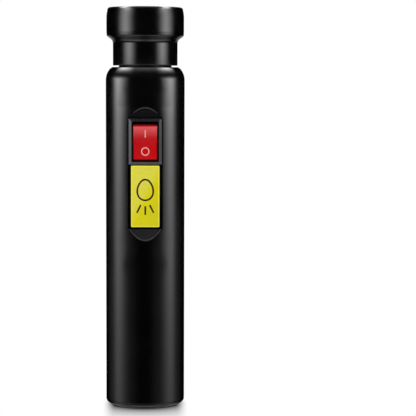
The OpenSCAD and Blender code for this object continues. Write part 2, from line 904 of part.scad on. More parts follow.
// A push-on connector: a flat box over the terminal and a barrel across it, crimped on the lead
module spade_connector(side) {
    difference() {
        union() {
            block_y(2 * barrel_x, conn_t, conn_y, conn_y + conn_len);
            translate([0, barrel_y, 0])
                rotate([0, side * 90, 0])
                    rod(lead_r + barrel_wall, [0, 0], barrel_x - conn_wall / 2, barrel_end_x);
        }
        block_y(terminal_w + 2 * fit, terminal_t + 2 * fit, conn_y - over, terminal_end_y + fit);
        translate([0, barrel_y, 0])
            rotate([0, side * 90, 0])
                rod(lead_r + fit, [0, 0], barrel_x, barrel_end_x + over);
    }
}

module spade_connectors() {
    color("#e6e3da")
        union() {
            translate([0, 0, switch_z])
                spade_connector(1);
            translate([0, 0, load_z])
                spade_connector(-1);
        }
}

module name_label() {
    color("#e3d400")
        translate([-label_w / 2, -flat_y - label_t, label_top_z - label_h])
            cube([label_w, label_t, label_h]);
}

module series_resistor() {
    color("#3b6fa8")
        difference() {
            rod(resistor_d / 2, [-lead_place, resistor_y], resistor_low_z, resistor_top_z);
            for (z = [resistor_low_z - over, resistor_top_z - lead_d])
                rod(lead_r + fit, [-lead_place, resistor_y], z, z + lead_d + over);
        }
}

// A lead's places from shares of the inner radius, of the back line and of the rise between two heights
function lead_places(shares, low_z, high_z) =
    [for (s = shares) [s[0] * body_in_r, s[1] * lead_back_y, low_z + s[2] * (high_z - low_z)]];

// A lead's ends: straight out of a barrel and round into the way up or down, and straight up at a tab or board
function lead_from_barrel(side, z, way) =
    concat([[side * (barrel_x + fit), barrel_y, z]],
           [for (a = [0, 45, 90])
                [side * (barrel_end_x + lead_turn_r * sin(a)), barrel_y,
                 z + way * lead_turn_r * (1 - cos(a))]]);
function lead_up_at(x, y, heights) = [for (z = heights) [x, y, z]];
function lead_from_tab(side) =
    lead_up_at(side * tab_place, 0, [lead_low_z, sleeve_top_z, sleeve_top_z + lead_d]);
function lead_to_board(side) =
    lead_up_at(side * lead_place, 0, [sink_z - 2 * lead_d, sink_z - lead_d, lead_top_z]);

function reversed(list) = [for (i = [len(list) - 1:-1:0]) list[i]];

module supply_lead() {
    route = concat(lead_from_tab(1), lead_places(supply_shares, lead_low_z, switch_z),
                   reversed(lead_from_barrel(1, switch_z, -1)));
    color("#b3121b")
        tube_along(smooth(route, lead_steps), lead_r, lead_sides);
}

module switched_lead() {
    into = lead_d - fit;
    lower = concat(lead_from_barrel(-1, load_z, 1),
                   lead_up_at(-barrel_end_x - lead_turn_r, resistor_y, [(load_z + resistor_low_z) / 2]),
                   lead_up_at(-lead_place, resistor_y, [resistor_low_z - lead_d, resistor_low_z]),
                   lead_up_at(-lead_place, resistor_y, [resistor_low_z + into]));
    upper = concat(lead_up_at(-lead_place, resistor_y, [resistor_top_z - into, resistor_top_z]),
                   lead_up_at(-lead_place, 0, [sink_z, lead_top_z]));
    color("#b3121b")
        for (route = [lower, upper])
            tube_along(smooth(route, lead_steps), lead_r, lead_sides);
}

module return_lead() {
    route = concat(lead_from_tab(-1), lead_places(return_shares, lead_low_z, sink_z), lead_to_board(1));
    color("#1a1a1a")
        tube_along(smooth(route, lead_steps), lead_r, lead_sides);
}

module jack_sleeves() {
    color("#2a2a2a")
        for (side = [-1, 1])
            translate([side * tab_place, 0, 0])
                ring(sleeve_bore_r + sleeve_wall, sleeve_bore_r, sleeve_low_z, sleeve_top_z);
}

body_tube();
base_cap();
cap_seal();
dc_jack();
jack_pin();
jack_washer();
jack_nut();
jack_tab();
neck_tube();
egg_cup();
front_lens();
lens_ring();
lens_seal();
reflector();
led_package();
led_dome();
led_board();
led_screws();
heat_sink();
switch_housing();
rocker();
rocker_plunger();
plunger_spring();
contact_lever();
common_terminal();
load_terminal();
spade_connectors();
name_label();
series_resistor();
supply_lead();
switched_lead();
return_lead();
jack_sleeves();
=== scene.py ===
# %% [markdown]
# # An egg candling lamp
# The lamp is a black plastic tube as tall as a hand is long. A soft cup on top holds an egg over a light, a red
# rocker on a flat in the front switches it, and a power inlet sits under the base. The CAD model comes in first
# as a fixed frame. The outer sizes below are read from it, and the inner sizes that the boxes of its nodes
# don't give, such as walls and roundings, are written down where they are first needed.

# %% Load the frame
import json
import math

import bmesh
import bpy
import numpy as np
from mathutils import Matrix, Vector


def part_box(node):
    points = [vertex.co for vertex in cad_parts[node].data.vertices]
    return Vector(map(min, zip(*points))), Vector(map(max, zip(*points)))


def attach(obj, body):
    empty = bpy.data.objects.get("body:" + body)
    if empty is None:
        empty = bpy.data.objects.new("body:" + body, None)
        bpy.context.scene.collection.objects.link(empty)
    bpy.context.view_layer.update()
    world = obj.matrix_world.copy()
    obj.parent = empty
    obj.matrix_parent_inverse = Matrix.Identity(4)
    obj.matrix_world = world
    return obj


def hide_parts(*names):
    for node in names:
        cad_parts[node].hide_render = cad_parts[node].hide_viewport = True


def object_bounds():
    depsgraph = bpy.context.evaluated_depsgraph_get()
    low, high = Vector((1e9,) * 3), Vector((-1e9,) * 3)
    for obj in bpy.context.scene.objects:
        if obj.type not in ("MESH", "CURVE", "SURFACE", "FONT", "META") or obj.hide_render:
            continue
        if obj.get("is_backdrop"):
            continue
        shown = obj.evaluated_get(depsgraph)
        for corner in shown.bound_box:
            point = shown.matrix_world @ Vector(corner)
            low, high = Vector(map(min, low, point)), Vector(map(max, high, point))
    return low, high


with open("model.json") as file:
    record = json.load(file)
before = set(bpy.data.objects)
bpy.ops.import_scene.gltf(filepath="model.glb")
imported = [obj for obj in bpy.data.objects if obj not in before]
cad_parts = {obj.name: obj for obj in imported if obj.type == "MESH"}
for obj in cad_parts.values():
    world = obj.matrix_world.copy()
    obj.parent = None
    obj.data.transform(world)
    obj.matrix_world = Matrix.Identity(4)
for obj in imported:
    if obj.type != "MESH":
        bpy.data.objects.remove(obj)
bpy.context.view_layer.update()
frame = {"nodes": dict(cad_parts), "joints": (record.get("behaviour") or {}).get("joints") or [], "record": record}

# %% [markdown]
# ## Sizes
# The CAD works in millimetres and Blender in metres. The shapes are worked out in millimetres, because a bevel
# of 0.3 reads better than 0.0003, and are scaled once when they go into a mesh.

# %% Sizes from the frame
MM = 0.001


def span(node):
    """Lowest and highest corner of a CAD node, in millimetres."""
    low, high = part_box(node)
    return np.array(low) / MM, np.array(high) / MM


tube_low, tube_high = span("body_tube")
cup_low, cup_high = span("egg_cup")
neck_low, neck_high = span("neck_tube")
switch_low, switch_high = span("switch_housing")
label_low, label_high = span("name_label")
tube_r = tube_high[0]
tube_z, shoulder_z = tube_low[2], tube_high[2]
cup_r, collar_z, top_z = cup_high[0], cup_low[2], cup_high[2]
flat_y = -label_high[1]
hinge = next(j for j in frame["joints"] if j["name"] == "rocker_tilt")
pivot = np.array(hinge["pos_m"]) / MM
swing = math.radians(hinge["range_deg"][1])
print("tube radius", round(tube_r, 2), "height", round(top_z, 2), "flat at", round(flat_y, 2))

# %% [markdown]
# ## Camera
# The camera stands 0.7 m away, level with the shoulder, and looks slightly down. The tube stands left of the
# middle, so the camera turns a little to the right, and a very small roll keeps the tube upright in the
# picture.

# %% Camera
PIXELS, FOCAL_PIXELS = 416, 1548.55
CAMERA_AT = (0, -0.7, 0.15175)


def put(name, data):
    """A new object with a mesh, lamp or camera, linked into the scene."""
    obj = bpy.data.objects.new(name, data)
    bpy.context.scene.collection.objects.link(obj)
    return obj


camera = put("camera", bpy.data.cameras.new("camera"))
camera.data.sensor_width = 36
camera.data.lens = FOCAL_PIXELS / PIXELS * camera.data.sensor_width
yaw, pitch, roll = (math.radians(a) for a in (2.33, 5.1533, 0.209))
turned = Matrix.Rotation(-yaw, 4, "Z") @ Matrix.Rotation(math.pi / 2 - pitch, 4, "X")
camera.matrix_world = Matrix.Translation(CAMERA_AT) @ turned @ Matrix.Rotation(roll, 4, "Z")
bpy.context.scene.camera = camera
print("lens", round(camera.data.lens, 1), "mm")

# %% [markdown]
# ## Surfaces from grids
# Nearly all of the lamp is turned or moulded, so each piece is one outline carried round an axis or along a
# path. That makes a grid of points, and one helper joins any grid into faces. Closing the grid on itself gives
# a watertight skin, and points that meet on the axis are merged, which closes the poles.

# %% Grid helpers
def grid_quads(rows, cols, close_rows=True, close_cols=True):
    """Faces of a rows x cols grid of points: each joins a point to the next in its row and in the row after."""
    i = np.arange(rows if close_rows else rows - 1)[:, None]
    j = np.arange(cols if close_cols else cols - 1)[None, :]
    below, beside = (i + 1) % rows, (j + 1) % cols
    return np.stack([i * cols + j, i * cols + beside, below * cols + beside, below * cols + j], -1)


def sleeve(rows, cols):
    """Faces of rows of closed rings of cols points each, with the first and the last ring filled."""
    rings = np.arange(rows * cols).reshape(rows, cols)
    return grid_quads(rows, cols, close_rows=False).reshape(-1, 4).tolist() + rings[[0, -1]].tolist()


def lathe(outline, sides):
    """A closed (radius, height) outline carried round the Z axis: x = r cos t, y = r sin t, z = h."""
    t = np.linspace(0, 2 * np.pi, sides, endpoint=False)
    r, h = outline[:, :1], outline[:, 1:]
    points = np.stack([r * np.cos(t), r * np.sin(t), h + 0 * t], -1)
    return points.reshape(-1, 3), grid_quads(len(outline), sides).reshape(-1, 4).tolist()


def rounded(corners, steps=5):
    """A closed outline with its corners rounded. Each corner is (x, y, radius): the outline leaves the corner's
    sides where a circle of that radius touches them, and follows the circle between."""
    xy, radii = np.array(corners)[:, :2], np.array(corners)[:, 2]
    before, after = np.roll(xy, 1, 0) - xy, np.roll(xy, -1, 0) - xy
    before, after = (v / np.linalg.norm(v, axis=1, keepdims=True) for v in (before, after))
    half = np.arccos(np.clip((before * after).sum(1), -1, 1)) / 2
    middle = before + after
    middle = middle / np.maximum(np.linalg.norm(middle, axis=1, keepdims=True), 1e-9)
    centre = xy + middle * (radii / np.sin(half))[:, None]
    reach = (radii / np.tan(half))[:, None]
    start, end = xy + before * reach - centre, xy + after * reach - centre
    a = np.arctan2(start[:, 1], start[:, 0])
    sweep = (np.arctan2(end[:, 1], end[:, 0]) - a + np.pi) % (2 * np.pi) - np.pi
    t = a[:, None] + sweep[:, None] * np.linspace(0, 1, steps + 1)
    arcs = centre[:, None] + radii[:, None, None] * np.stack([np.cos(t), np.sin(t)], -1)
    holds = 0.3 * np.minimum(reach, 0.5)[:, None]
    first, last = arcs[:, :1] + before[:, None] * holds, arcs[:, -1:] + after[:, None] * holds
    return np.concatenate([first, arcs, last], 1).reshape(-1, 2)


def make_mesh(name, *shells):
    """One mesh object at the origin from (points in millimetres, faces) shells, merged, facing outwards and
    smooth except at edges sharper than 32 degrees."""
    mesh = bpy.data.meshes.new(name)
    start, points, faces = 0, [], []
    for shell_points, shell_faces in shells:
        points.append(shell_points)
        faces += [[i + start for i in face] for face in shell_faces]
        start += len(shell_points)
    mesh.from_pydata((np.concatenate(points) * MM).tolist(), [], faces)
    work = bmesh.new()
    work.from_mesh(mesh)
    bmesh.ops.remove_doubles(work, verts=work.verts, dist=1e-7)
    bmesh.ops.recalc_face_normals(work, faces=work.faces)
    work.to_mesh(mesh)
    work.free()
    mesh.shade_smooth()
    mesh.set_sharp_from_angle(angle=math.radians(32))
    return put(name, mesh)


pieces = []


def piece(name, body, slot, node, *shells):
    """A new piece that rides on a body and takes the finish of a slot. It may stand for a CAD node."""
    obj = make_mesh(name, *shells)
    pieces.append((obj, slot))
    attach(obj, body)
    if node:
        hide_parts(node)
    print(name, len(obj.data.polygons), "faces on", body)


# %% [markdown]
# ## Handle
# The handle is a moulded tube with a round shoulder. Its front is planed to a flat for the switch and the
# label, and a scoop runs out of each end of the flat. A boolean cut would leave razor edges and long triangles,
# so the front is a height field instead: at each place the depth is the smaller of the tube's round and the
# cut, joined by a soft minimum that rounds the edge. The grid's columns follow the cut's edge, so that edge
# stays crisp.

# %% Handle sizes
# The bezel laps over its opening at the sides and ends. FIT is the gap between pieces that plug together, and
# EASE the soft minimum's reach.
WALL, CEILING = 3.0, 5.7
SHOULDER_R, SHOULDER_H, RIM_R = 7.9, 5.9, 0.6
SCOOP_LOW, SCOOP_HIGH = 4.9, 4.3
STEP, STEP_HALF, EDGE, LABEL_FOOT = 0.3, 0.03, 0.5, 0.9
LAP_SIDE, LAP_END, CUTOUT_GAP = 0.95, 0.65, 0.1
FIT, EASE, LENS_RIM = 0.05, 0.045, 1.0
neck_r = span("front_lens")[1][0] + LENS_RIM
flat_top, flat_low = switch_high[2] + EDGE, label_low[2] - LABEL_FOOT
flat_half = math.sqrt(tube_r**2 - flat_y**2)
cut_x = (switch_high[0] - LAP_SIDE) + CUTOUT_GAP
cut_low, cut_high = switch_low[2] + LAP_END - CUTOUT_GAP, switch_high[2] - LAP_END + CUTOUT_GAP
scoop_rise = tube_r - flat_y - STEP
print("flat from", round(flat_low, 1), "to", round(flat_top, 1), "half width", round(flat_half, 2))


# %% Handle rows
def cut_depth(z):
    """Distance of the front cut from the axis: the flat, a small step at each end, then a sloping scoop."""
    past = np.maximum(flat_low - z, z - flat_top)
    step = np.clip((past + STEP_HALF) / (2 * STEP_HALF), 0, 1) * STEP
    share = np.maximum((flat_low - z) / SCOOP_LOW, (z - flat_top) / SCOOP_HIGH)
    return flat_y + step + np.maximum(share, 0) * scoop_rise


ease_in = np.linspace(0, 1, 15) ** 2
near_tip = np.array([-2.5, -1.2, -0.5, -0.2, -0.06])
low_scoop, high_scoop = (np.concatenate([near_tip, reach * ease_in[:-1], [reach - 0.05]]) - reach
                         for reach in (SCOOP_LOW, SCOOP_HIGH))
low_scoop, high_scoop = flat_low + low_scoop, flat_top - high_scoop[::-1]
window = np.concatenate([[cut_low], np.linspace(cut_low + 2, cut_high - 2, 7), [cut_high]])
steps_low, steps_high = (end + np.array([-1, -0.5, 0, 0.5, 1, 8 / 3]) * STEP_HALF * way
                         for end, way in ((flat_low, 1), (flat_top, -1)))
plain_low = np.linspace(tube_z + 0.3, low_scoop[0] - 2, 12)
plain_high = np.linspace(high_scoop[-1] + 1.5, shoulder_z - SHOULDER_H, 5)
between = np.linspace(flat_low + 1, cut_low - 1, 8)
outer_z = np.concatenate([plain_low, low_scoop, steps_low, between, window, steps_high[::-1], high_scoop,
                          plain_high])
arc = np.linspace(0, math.asin(SHOULDER_H / SHOULDER_R), 10)[1:-1]
shoulder = np.stack([tube_r - SHOULDER_R + SHOULDER_R * np.cos(arc),
                     shoulder_z - SHOULDER_H + SHOULDER_R * np.sin(arc)], 1)
tube_in, hole_r, ceiling_z = tube_r - WALL, neck_r + FIT, shoulder_z - CEILING
rim = tube_r - SHOULDER_R + math.sqrt(SHOULDER_R**2 - SHOULDER_H**2)
inner = rounded([(rim, shoulder_z, RIM_R), (hole_r, shoulder_z, 0.25), (hole_r, ceiling_z, 0.1),
                 (tube_in, ceiling_z, 0.3), (tube_in, cut_high + 1, 0), (tube_in, cut_low - 1, 0),
                 (tube_in, tube_z, 0.2), (tube_r, tube_z, 0.25), (tube_r, tube_z + 5, 0),
                 (tube_r, shoulder_z - 9, 0)])


def bore_row(z):
    """Number of the inner outline's point that is nearest to a height, on the bore's wall alone."""
    return np.argmin(np.abs(inner[:, 1] - z) + 100 * (inner[:, 0] > tube_in + 0.1))


print("outer rows", len(outer_z), "inner outline", len(inner))

# %% [markdown]
# The rows run up the outside, over the shoulder, down the bore and back under the foot. Each row has a front
# part, placed by its distance from the middle, and a back part, placed by angle. In the front part six columns
# lie close to the cut's edge, and one follows the side of the switch opening.

# %% Handle grid
FRONT_HALF, OPENING_COL = 12, 4
turned_in, turned_out = inner[:bore_row(cut_high + 1)], inner[bore_row(cut_low - 1) + 1:]
turned_out = turned_out[turned_out[:, 1] < tube_z + 0.28]
bore = np.stack([np.full(len(window), tube_in), window[::-1]], 1)
skin = np.stack([np.full(len(outer_z), tube_r), outer_z], 1)
side = np.concatenate([skin, shoulder, turned_in, bore, turned_out])
row_r, row_z = side[:, 0], side[:, 1]
is_outer = np.arange(len(side)) < len(outer_z)
depth = np.where(is_outer, cut_depth(row_z), 1e3)
edge_x = np.sqrt(np.maximum(tube_r**2 - np.minimum(depth, tube_r) ** 2, 0.0025))
away = np.clip(np.maximum(flat_low - row_z - SCOOP_LOW, row_z - flat_top - SCOOP_HIGH) / 8, 0, 1)
edge_x = np.where(is_outer, np.maximum(edge_x, flat_half * away), flat_half * np.minimum(row_r / tube_in, 1))
width = np.minimum(edge_x / 1.2, 1)[:, None]
reach = (FRONT_HALF * np.minimum(row_r / tube_in, 1))[:, None]
edge_x = edge_x[:, None]
shares = np.array([0, 0.2, 0.4, 0.6, cut_x / flat_half, 0.9])
near = edge_x + width * np.array([-0.3, -0.14, -0.05, 0.05, 0.14, 0.3])
beyond = near[:, -1:] + (reach - near[:, -1:]) * np.array([0.2, 0.45, 0.72, 1])
half_x = np.concatenate([edge_x * shares, near, beyond], 1)
front_x = np.concatenate([-half_x[:, :0:-1], half_x], 1)
round_y = np.sqrt(np.maximum(row_r[:, None] ** 2 - front_x**2, 0))
gap = np.abs(round_y - depth[:, None])
front_y = np.minimum(round_y, depth[:, None]) - EASE * np.log1p(np.exp(-np.minimum(gap / EASE, 60)))
front_y = np.where(is_outer[:, None], front_y, round_y)
first = np.arcsin(reach / row_r[:, None])
angle = first + (2 * np.pi - 2 * first) * np.linspace(0, 1, 82)[1:-1]
x = np.concatenate([front_x, row_r[:, None] * np.sin(angle)], 1)
y = np.concatenate([-front_y, -row_r[:, None] * np.cos(angle)], 1)
handle_points = np.stack([x, y, np.broadcast_to(row_z[:, None], x.shape)], -1)
print("handle grid", x.shape)

# %% [markdown]
# The switch opening is made by leaving faces out. Inside the wall the rows have the same heights beside the
# opening, so straight walls can join the two skins round it.

# %% Handle faces
rows, cols = x.shape
middle = half_x.shape[1] - 1
left, right = middle - OPENING_COL, middle + OPENING_COL
low_row = int(np.argmin(np.abs(outer_z - cut_low)))
high_row = low_row + len(window) - 1
bore_rows = len(outer_z) + len(shoulder) + len(turned_in) + np.arange(len(window))[::-1]
quads = grid_quads(rows, cols)
keep = np.ones(quads.shape[:2], bool)
keep[low_row:high_row, left:right] = False
keep[bore_rows[-1]:bore_rows[0], left:right] = False
number = np.arange(rows * cols).reshape(rows, cols)
outer_loop = number[low_row: high_row + 1, left: right + 1]
bore_loop = number[bore_rows, left: right + 1]
walls = []
for a, b in ((outer_loop[:, 0], bore_loop[:, 0]), (outer_loop[:, -1], bore_loop[:, -1]),
             (outer_loop[0], bore_loop[0]), (outer_loop[-1], bore_loop[-1])):
    walls.append(np.stack([a[:-1], a[1:], b[1:], b[:-1]], 1))
faces = np.concatenate([quads[keep]] + walls).tolist()
piece("handle", "lamp", "handle_black", "body_tube", (handle_points.reshape(-1, 3), faces))

# %% [markdown]
# ## Base cap
# The cap closes the tube's foot. A thin seam shows above it, its lower edge is rounded, and a recess in the
# middle takes the plug. It is turned from one outline with every corner softened a little, because moulded
# edges catch light.

# %% Base cap
SEAM_Z, FOOT_R, PLUG_H, PLUG_WALL, CAP_FLOOR = 1.8, 1.55, 6.7, 2.1, 2.6
GROOVE_HALF, GROOVE_DEEP, GROOVE_R = 0.6, 1.15, 0.05
RECESS_R, RECESS_Z, BOSS_R, BOSS_Z, JACK_R, JACK_Z, HOLE_R = 7.0, 4.2, 9.0, 7.4, 5.5, 5.2, 4.0
cap_top, plug_r = span("base_cap")[1][2], tube_in - FIT
plug_in, groove_r, groove_z = plug_r - PLUG_WALL, plug_r - GROOVE_DEEP, SEAM_Z + 0.6 * PLUG_H
groove_low, groove_high = groove_z - GROOVE_HALF, groove_z + GROOVE_HALF
cap_outline = rounded([
    (RECESS_R, 0, 0.3), (tube_r, 0, FOOT_R), (tube_r, SEAM_Z, 0.1), (plug_r, SEAM_Z, 0),
    (plug_r, groove_low, GROOVE_R), (groove_r, groove_low, GROOVE_R), (groove_r, groove_high, GROOVE_R),
    (plug_r, groove_high, GROOVE_R), (plug_r, cap_top, 0.5), (plug_in, cap_top, 0.2), (plug_in, CAP_FLOOR, 0.3),
    (BOSS_R, CAP_FLOOR, 0.3), (BOSS_R, BOSS_Z, 0.2), (HOLE_R, BOSS_Z, 0), (HOLE_R, JACK_Z, 0),
    (JACK_R, JACK_Z, 0), (JACK_R, RECESS_Z, 0), (RECESS_R, RECESS_Z, 0.15)])
piece("foot_cap", "lamp", "handle_black", "base_cap", lathe(cap_outline, 192))

# %% [markdown]
# ## Neck
# The neck is the tube inside the shoulder that carries the light. Only a thin ring of it shows under the cup,
# but the cup pulls off, so the whole of it is made: a flange that seats under the shoulder, and a ledge for the
# lens.

# %% Neck
NECK_WALL, LEDGE_W, FLANGE_H = 1.95, 1.0, 2.5
neck_in, flange_r, flange_z = neck_r - NECK_WALL, neck_high[0], ceiling_z - FLANGE_H
lens_bore = neck_in + LEDGE_W
seat_z, ledge_z = neck_high[2], span("lens_seal")[0][2]
neck_outline = rounded([
    (neck_in, neck_low[2], 0.2), (neck_r, neck_low[2], 0.3), (neck_r, flange_z, 0.1), (flange_r, flange_z, 0.2),
    (flange_r, ceiling_z, 0.05), (neck_r, ceiling_z, 0), (neck_r, seat_z, 0.35), (lens_bore, seat_z, 0.15),
    (lens_bore, ledge_z, 0.05), (neck_in, ledge_z, 0.1)])
piece("neck", "lamp", "neck_black", "neck_tube", lathe(neck_outline, 160))

# %% [markdown]
# ## Egg cup
# The cup is one soft moulding: a collar that grips the neck, a sloping cove, and a wall that draws in slightly
# at the lip. Inside, a funnel leads down to the light hole. The cove is a cone with an arc at each end, the lip
# two arcs.

# %% Egg cup
COLLAR_H, COVE_H, COVE_W, CUP_WALL = 11.1, 2.1, 2.9, 2.2
COVE_R, CORNER_R, FOOT_IN = 2.3, 0.7, 0.1
DRAW, DRAW_H, LIP_OUT, LIP_IN = 0.45, 4.9, 1.1, 0.5
WEB, LIGHT_IN, FUNNEL_H, FUNNEL_R = 1.2, 0.7, 4.7, 1.2
collar_r, mouth_r = cup_r - COVE_W, cup_r - CUP_WALL
cove_z = collar_z + COLLAR_H
rim_z, web_z = cove_z + COVE_H, seat_z + WEB
light_r, grip_r = neck_in - LIGHT_IN, neck_r + FIT


def bend(centre, r, a, b, steps=7):
    """Points on a circle between two angles in degrees."""
    t = np.radians(np.linspace(a, b, steps))
    return np.array(centre) + r * np.stack([np.cos(t), np.sin(t)], 1)


slope = math.degrees(math.atan2(COVE_H, COVE_W))
bow = math.tan(math.radians(90 - slope) / 2)
cove = np.concatenate([bend((collar_r + COVE_R, cove_z - COVE_R * bow), COVE_R, 180, 90 + slope, 12),
                       bend((cup_r - FOOT_IN - CORNER_R, rim_z + CORNER_R * bow), CORNER_R, slope - 90, 0)])
t = np.linspace(0, 1, 12)
draw = np.stack([cup_r - DRAW * t**2, top_z - DRAW_H + (DRAW_H - LIP_OUT) * t], 1)
collar_foot = np.concatenate([bend((grip_r + 0.2, collar_z + 0.2), 0.2, 180, 270, 4),
                              bend((collar_r - 0.25, collar_z + 0.25), 0.25, -90, 0)])
cup_outline = np.concatenate([
    collar_foot, [[collar_r, collar_z + 0.7], [collar_r, cove_z - 1.7]], cove,
    [[cup_r - 0.01, rim_z + 1.6], [cup_r, rim_z + 1.7], [cup_r, rim_z + 2.2]], draw,
    bend((cup_r - DRAW - LIP_OUT, top_z - LIP_OUT), LIP_OUT, 0, 90),
    bend((mouth_r + LIP_IN, top_z - LIP_IN), LIP_IN, 90, 180), [[mouth_r, top_z - 1]],
    bend((mouth_r - FUNNEL_R, web_z + FUNNEL_H + 0.5), FUNNEL_R, 0, -40, 5),
    bend((light_r + 0.3, web_z - 0.05), 0.3, 130, 180, 4),
    [[light_r, web_z - 0.4], [light_r, seat_z + 0.1], [light_r + 0.1, seat_z], [grip_r - 0.1, seat_z],
     [grip_r, seat_z - 0.1]]])
piece("egg_cup_rubber", "cup", "cup_rubber", "egg_cup", lathe(cup_outline, 192))

# %% [markdown]
# ## Light
# Under the cup sit a clear lens, a bright bowl and an LED. The bowl widens as the share of its height to the
# power 0.6, as in the CAD, with far more steps so that its mirror stays smooth. The LED's dome is half a ball.

# %% Lens, bowl and dome
LENS_EDGE, LED_W, LED_GAP = 0.2, 3.5, 0.35
BOWL_WALL, BOWL_FOOT, BOWL_LIP, BOWL_POWER = 0.7, 1.2, 0.8, 0.6
lens_low, lens_high = span("front_lens")
lens_outline = rounded([(0, lens_low[2], 0), (lens_high[0], lens_low[2], LENS_EDGE),
                        (lens_high[0], lens_high[2], LENS_EDGE), (0, lens_high[2], 0)])
lens_edge = lens_outline[lens_outline[:, 0] > 1]
lens_outline = np.concatenate([[[0, lens_low[2]]], lens_edge, [[0, lens_high[2]]]])
piece("clear_lens", "lamp", "lens_clear", "front_lens", lathe(lens_outline, 128))
bowl_low, bowl_high = span("reflector")
bowl_r, bowl_hole = bowl_high[0], LED_W / math.sqrt(2) + LED_GAP
t = np.linspace(0, 1, 36)
bowl_rise = bowl_high[2] - bowl_low[2] - BOWL_FOOT
bowl_in = np.stack([bowl_hole + (bowl_r - BOWL_WALL - bowl_hole) * t**BOWL_POWER,
                    bowl_low[2] + BOWL_FOOT + bowl_rise * t], 1)
bowl_out = (bowl_in + [BOWL_WALL, -BOWL_WALL / 2])[-3::-1]
bowl_out[:, 0] = np.minimum(bowl_out[:, 0], bowl_r)
bowl_outline = np.concatenate([[[bowl_hole, bowl_low[2]]], bowl_in,
                               [[bowl_r, bowl_high[2]], [bowl_r, bowl_high[2] - BOWL_LIP]],
                               bowl_out[bowl_out[:, 1] < bowl_high[2] - BOWL_LIP - 0.05],
                               [[bowl_hole + BOWL_WALL, bowl_low[2]]]])
piece("light_bowl", "lamp", "reflector_bright", "reflector", lathe(bowl_outline[::-1], 128))
dome_low, dome_high = span("led_dome")
dome_outline = np.concatenate([[[0, dome_low[2]]], bend((0, dome_low[2]), dome_high[0], 0, 90, 16)])
dome_outline[-1, 0] = 0
piece("led_lens", "lamp", "led_phosphor", "led_dome", lathe(dome_outline, 64))

# %% [markdown]
# ## Rocker
# The rocker is a block with round ends and a hollow face. It could be cut from a cube, but its round ends turn
# in the bezel and have to be true arcs. So its side view is drawn first, half of it and then its mirror image.

# %% Rocker side view
END_R, TIP, VALLEY, SKIRT = 8.25, 3.45, 2.1, 2.2
ROCKER_W, SIDE_ROUND, TIP_ROUND = 10.5, 0.35, 0.75
tip_u = math.sqrt(END_R**2 - TIP**2)
face_r = (tip_u**2 + (TIP - VALLEY) ** 2) / (2 * (TIP - VALLEY))


def face_height(u):
    """Height of the hollow face over the pivot at a distance u along the rocker: a circle's arc."""
    return VALLEY + face_r - np.sqrt(face_r**2 - u**2)


def on_rocker(x, u, v):
    """Points given across, along and out of the level rocker, tilted to its rest and moved to the pivot."""
    y, z = -v, u
    c, s = math.cos(swing / 2), math.sin(swing / 2)
    return np.stack([x + 0 * y, pivot[1] + y * c - z * s, pivot[2] + y * s + z * c], -1)


low_end = -math.asin(SKIRT / END_R)
tip_end = math.asin(TIP / END_R)
a = np.linspace(low_end + 0.04, tip_end - TIP_ROUND / END_R, 12)
end_u, end_v = END_R * np.cos(a), END_R * np.sin(a)
face_u = np.linspace(tip_u - TIP_ROUND, -tip_u + TIP_ROUND, 41)
t = np.linspace(0, 1, 7)[1:-1]
tip_from, tip_to = np.array([end_u[-1], end_v[-1]]), np.array([face_u[0], face_height(face_u[0])])
tip = (1 - t[:, None]) ** 2 * tip_from + 2 * (t * (1 - t))[:, None] * [tip_u, TIP] + t[:, None] ** 2 * tip_to
skirt_u = END_R * math.cos(low_end) - 0.4
half_view = np.concatenate([[[skirt_u, -SKIRT]], np.stack([end_u, end_v], 1), tip])
view = np.concatenate([half_view, np.stack([face_u, face_height(face_u)], 1), half_view[::-1] * [-1, 1]])
print("side view", len(view), "points")

# %% [markdown]
# The side view is carried across the switch and drawn in at both sides along a quarter circle, which rounds the
# long edges. Two short trunnions and a sprung post behind it complete the moulding.

# %% Rocker moulding
along = np.roll(view, -1, 0) - np.roll(view, 1, 0)
inward = np.stack([-along[:, 1], along[:, 0]], 1) / np.linalg.norm(along, axis=1, keepdims=True)
a = np.linspace(0, np.pi / 2, 6)
edge_across, edge_in = SIDE_ROUND * np.sin(a), SIDE_ROUND * (1 - np.cos(a))
across = np.concatenate([ROCKER_W / 2 - SIDE_ROUND + edge_across[::-1], np.linspace(4.6, -4.6, 5),
                         -ROCKER_W / 2 + SIDE_ROUND - edge_across])
draw_in = np.concatenate([edge_in[::-1], np.zeros(5), edge_in])
uv = view[None] + inward[None] * draw_in[:, None, None]
block = on_rocker(across[:, None], uv[..., 0], uv[..., 1]).reshape(-1, 3)


def turned_on_rocker(outline, way):
    """A turned shape whose axis lies across the rocker ("x") or behind it ("y")."""
    points, shape_faces = lathe(outline, 40)
    if way == "x":
        return on_rocker(points[:, 2], points[:, 0], points[:, 1]), shape_faces
    return on_rocker(points[:, 0], points[:, 1], -points[:, 2]), shape_faces


trunnion = np.array([(0, -6.3), (0.6, -6.3), (0.7, -6.2), (0.7, 6.2), (0.6, 6.3), (0, 6.3)])
post = np.array([(0, 0), (2.1, 0), (2.1, 5.5), (2.0, 5.6), (1.3, 5.6), (1.3, 1), (0, 1)])
piece("rocker_key", "rocker", "rocker_red", "rocker", (block, sleeve(len(across), len(view))),
      turned_on_rocker(trunnion, "x"), turned_on_rocker(post, "y"))

# %% [markdown]
# The signs for on and off are printed thick enough to feel. Each is a small cross-section carried along a line
# that lies on the hollow face: a straight bar that narrows at its ends, and a ring.

# %% Signs on the rocker
SUNK, PROUD, RING_SIDES = -0.08, 0.05, 72
stroke = np.array([(-1, SUNK), (-1, PROUD * 0.5), (-0.86, PROUD), (0.86, PROUD), (1, PROUD * 0.5),
                   (1, SUNK)])


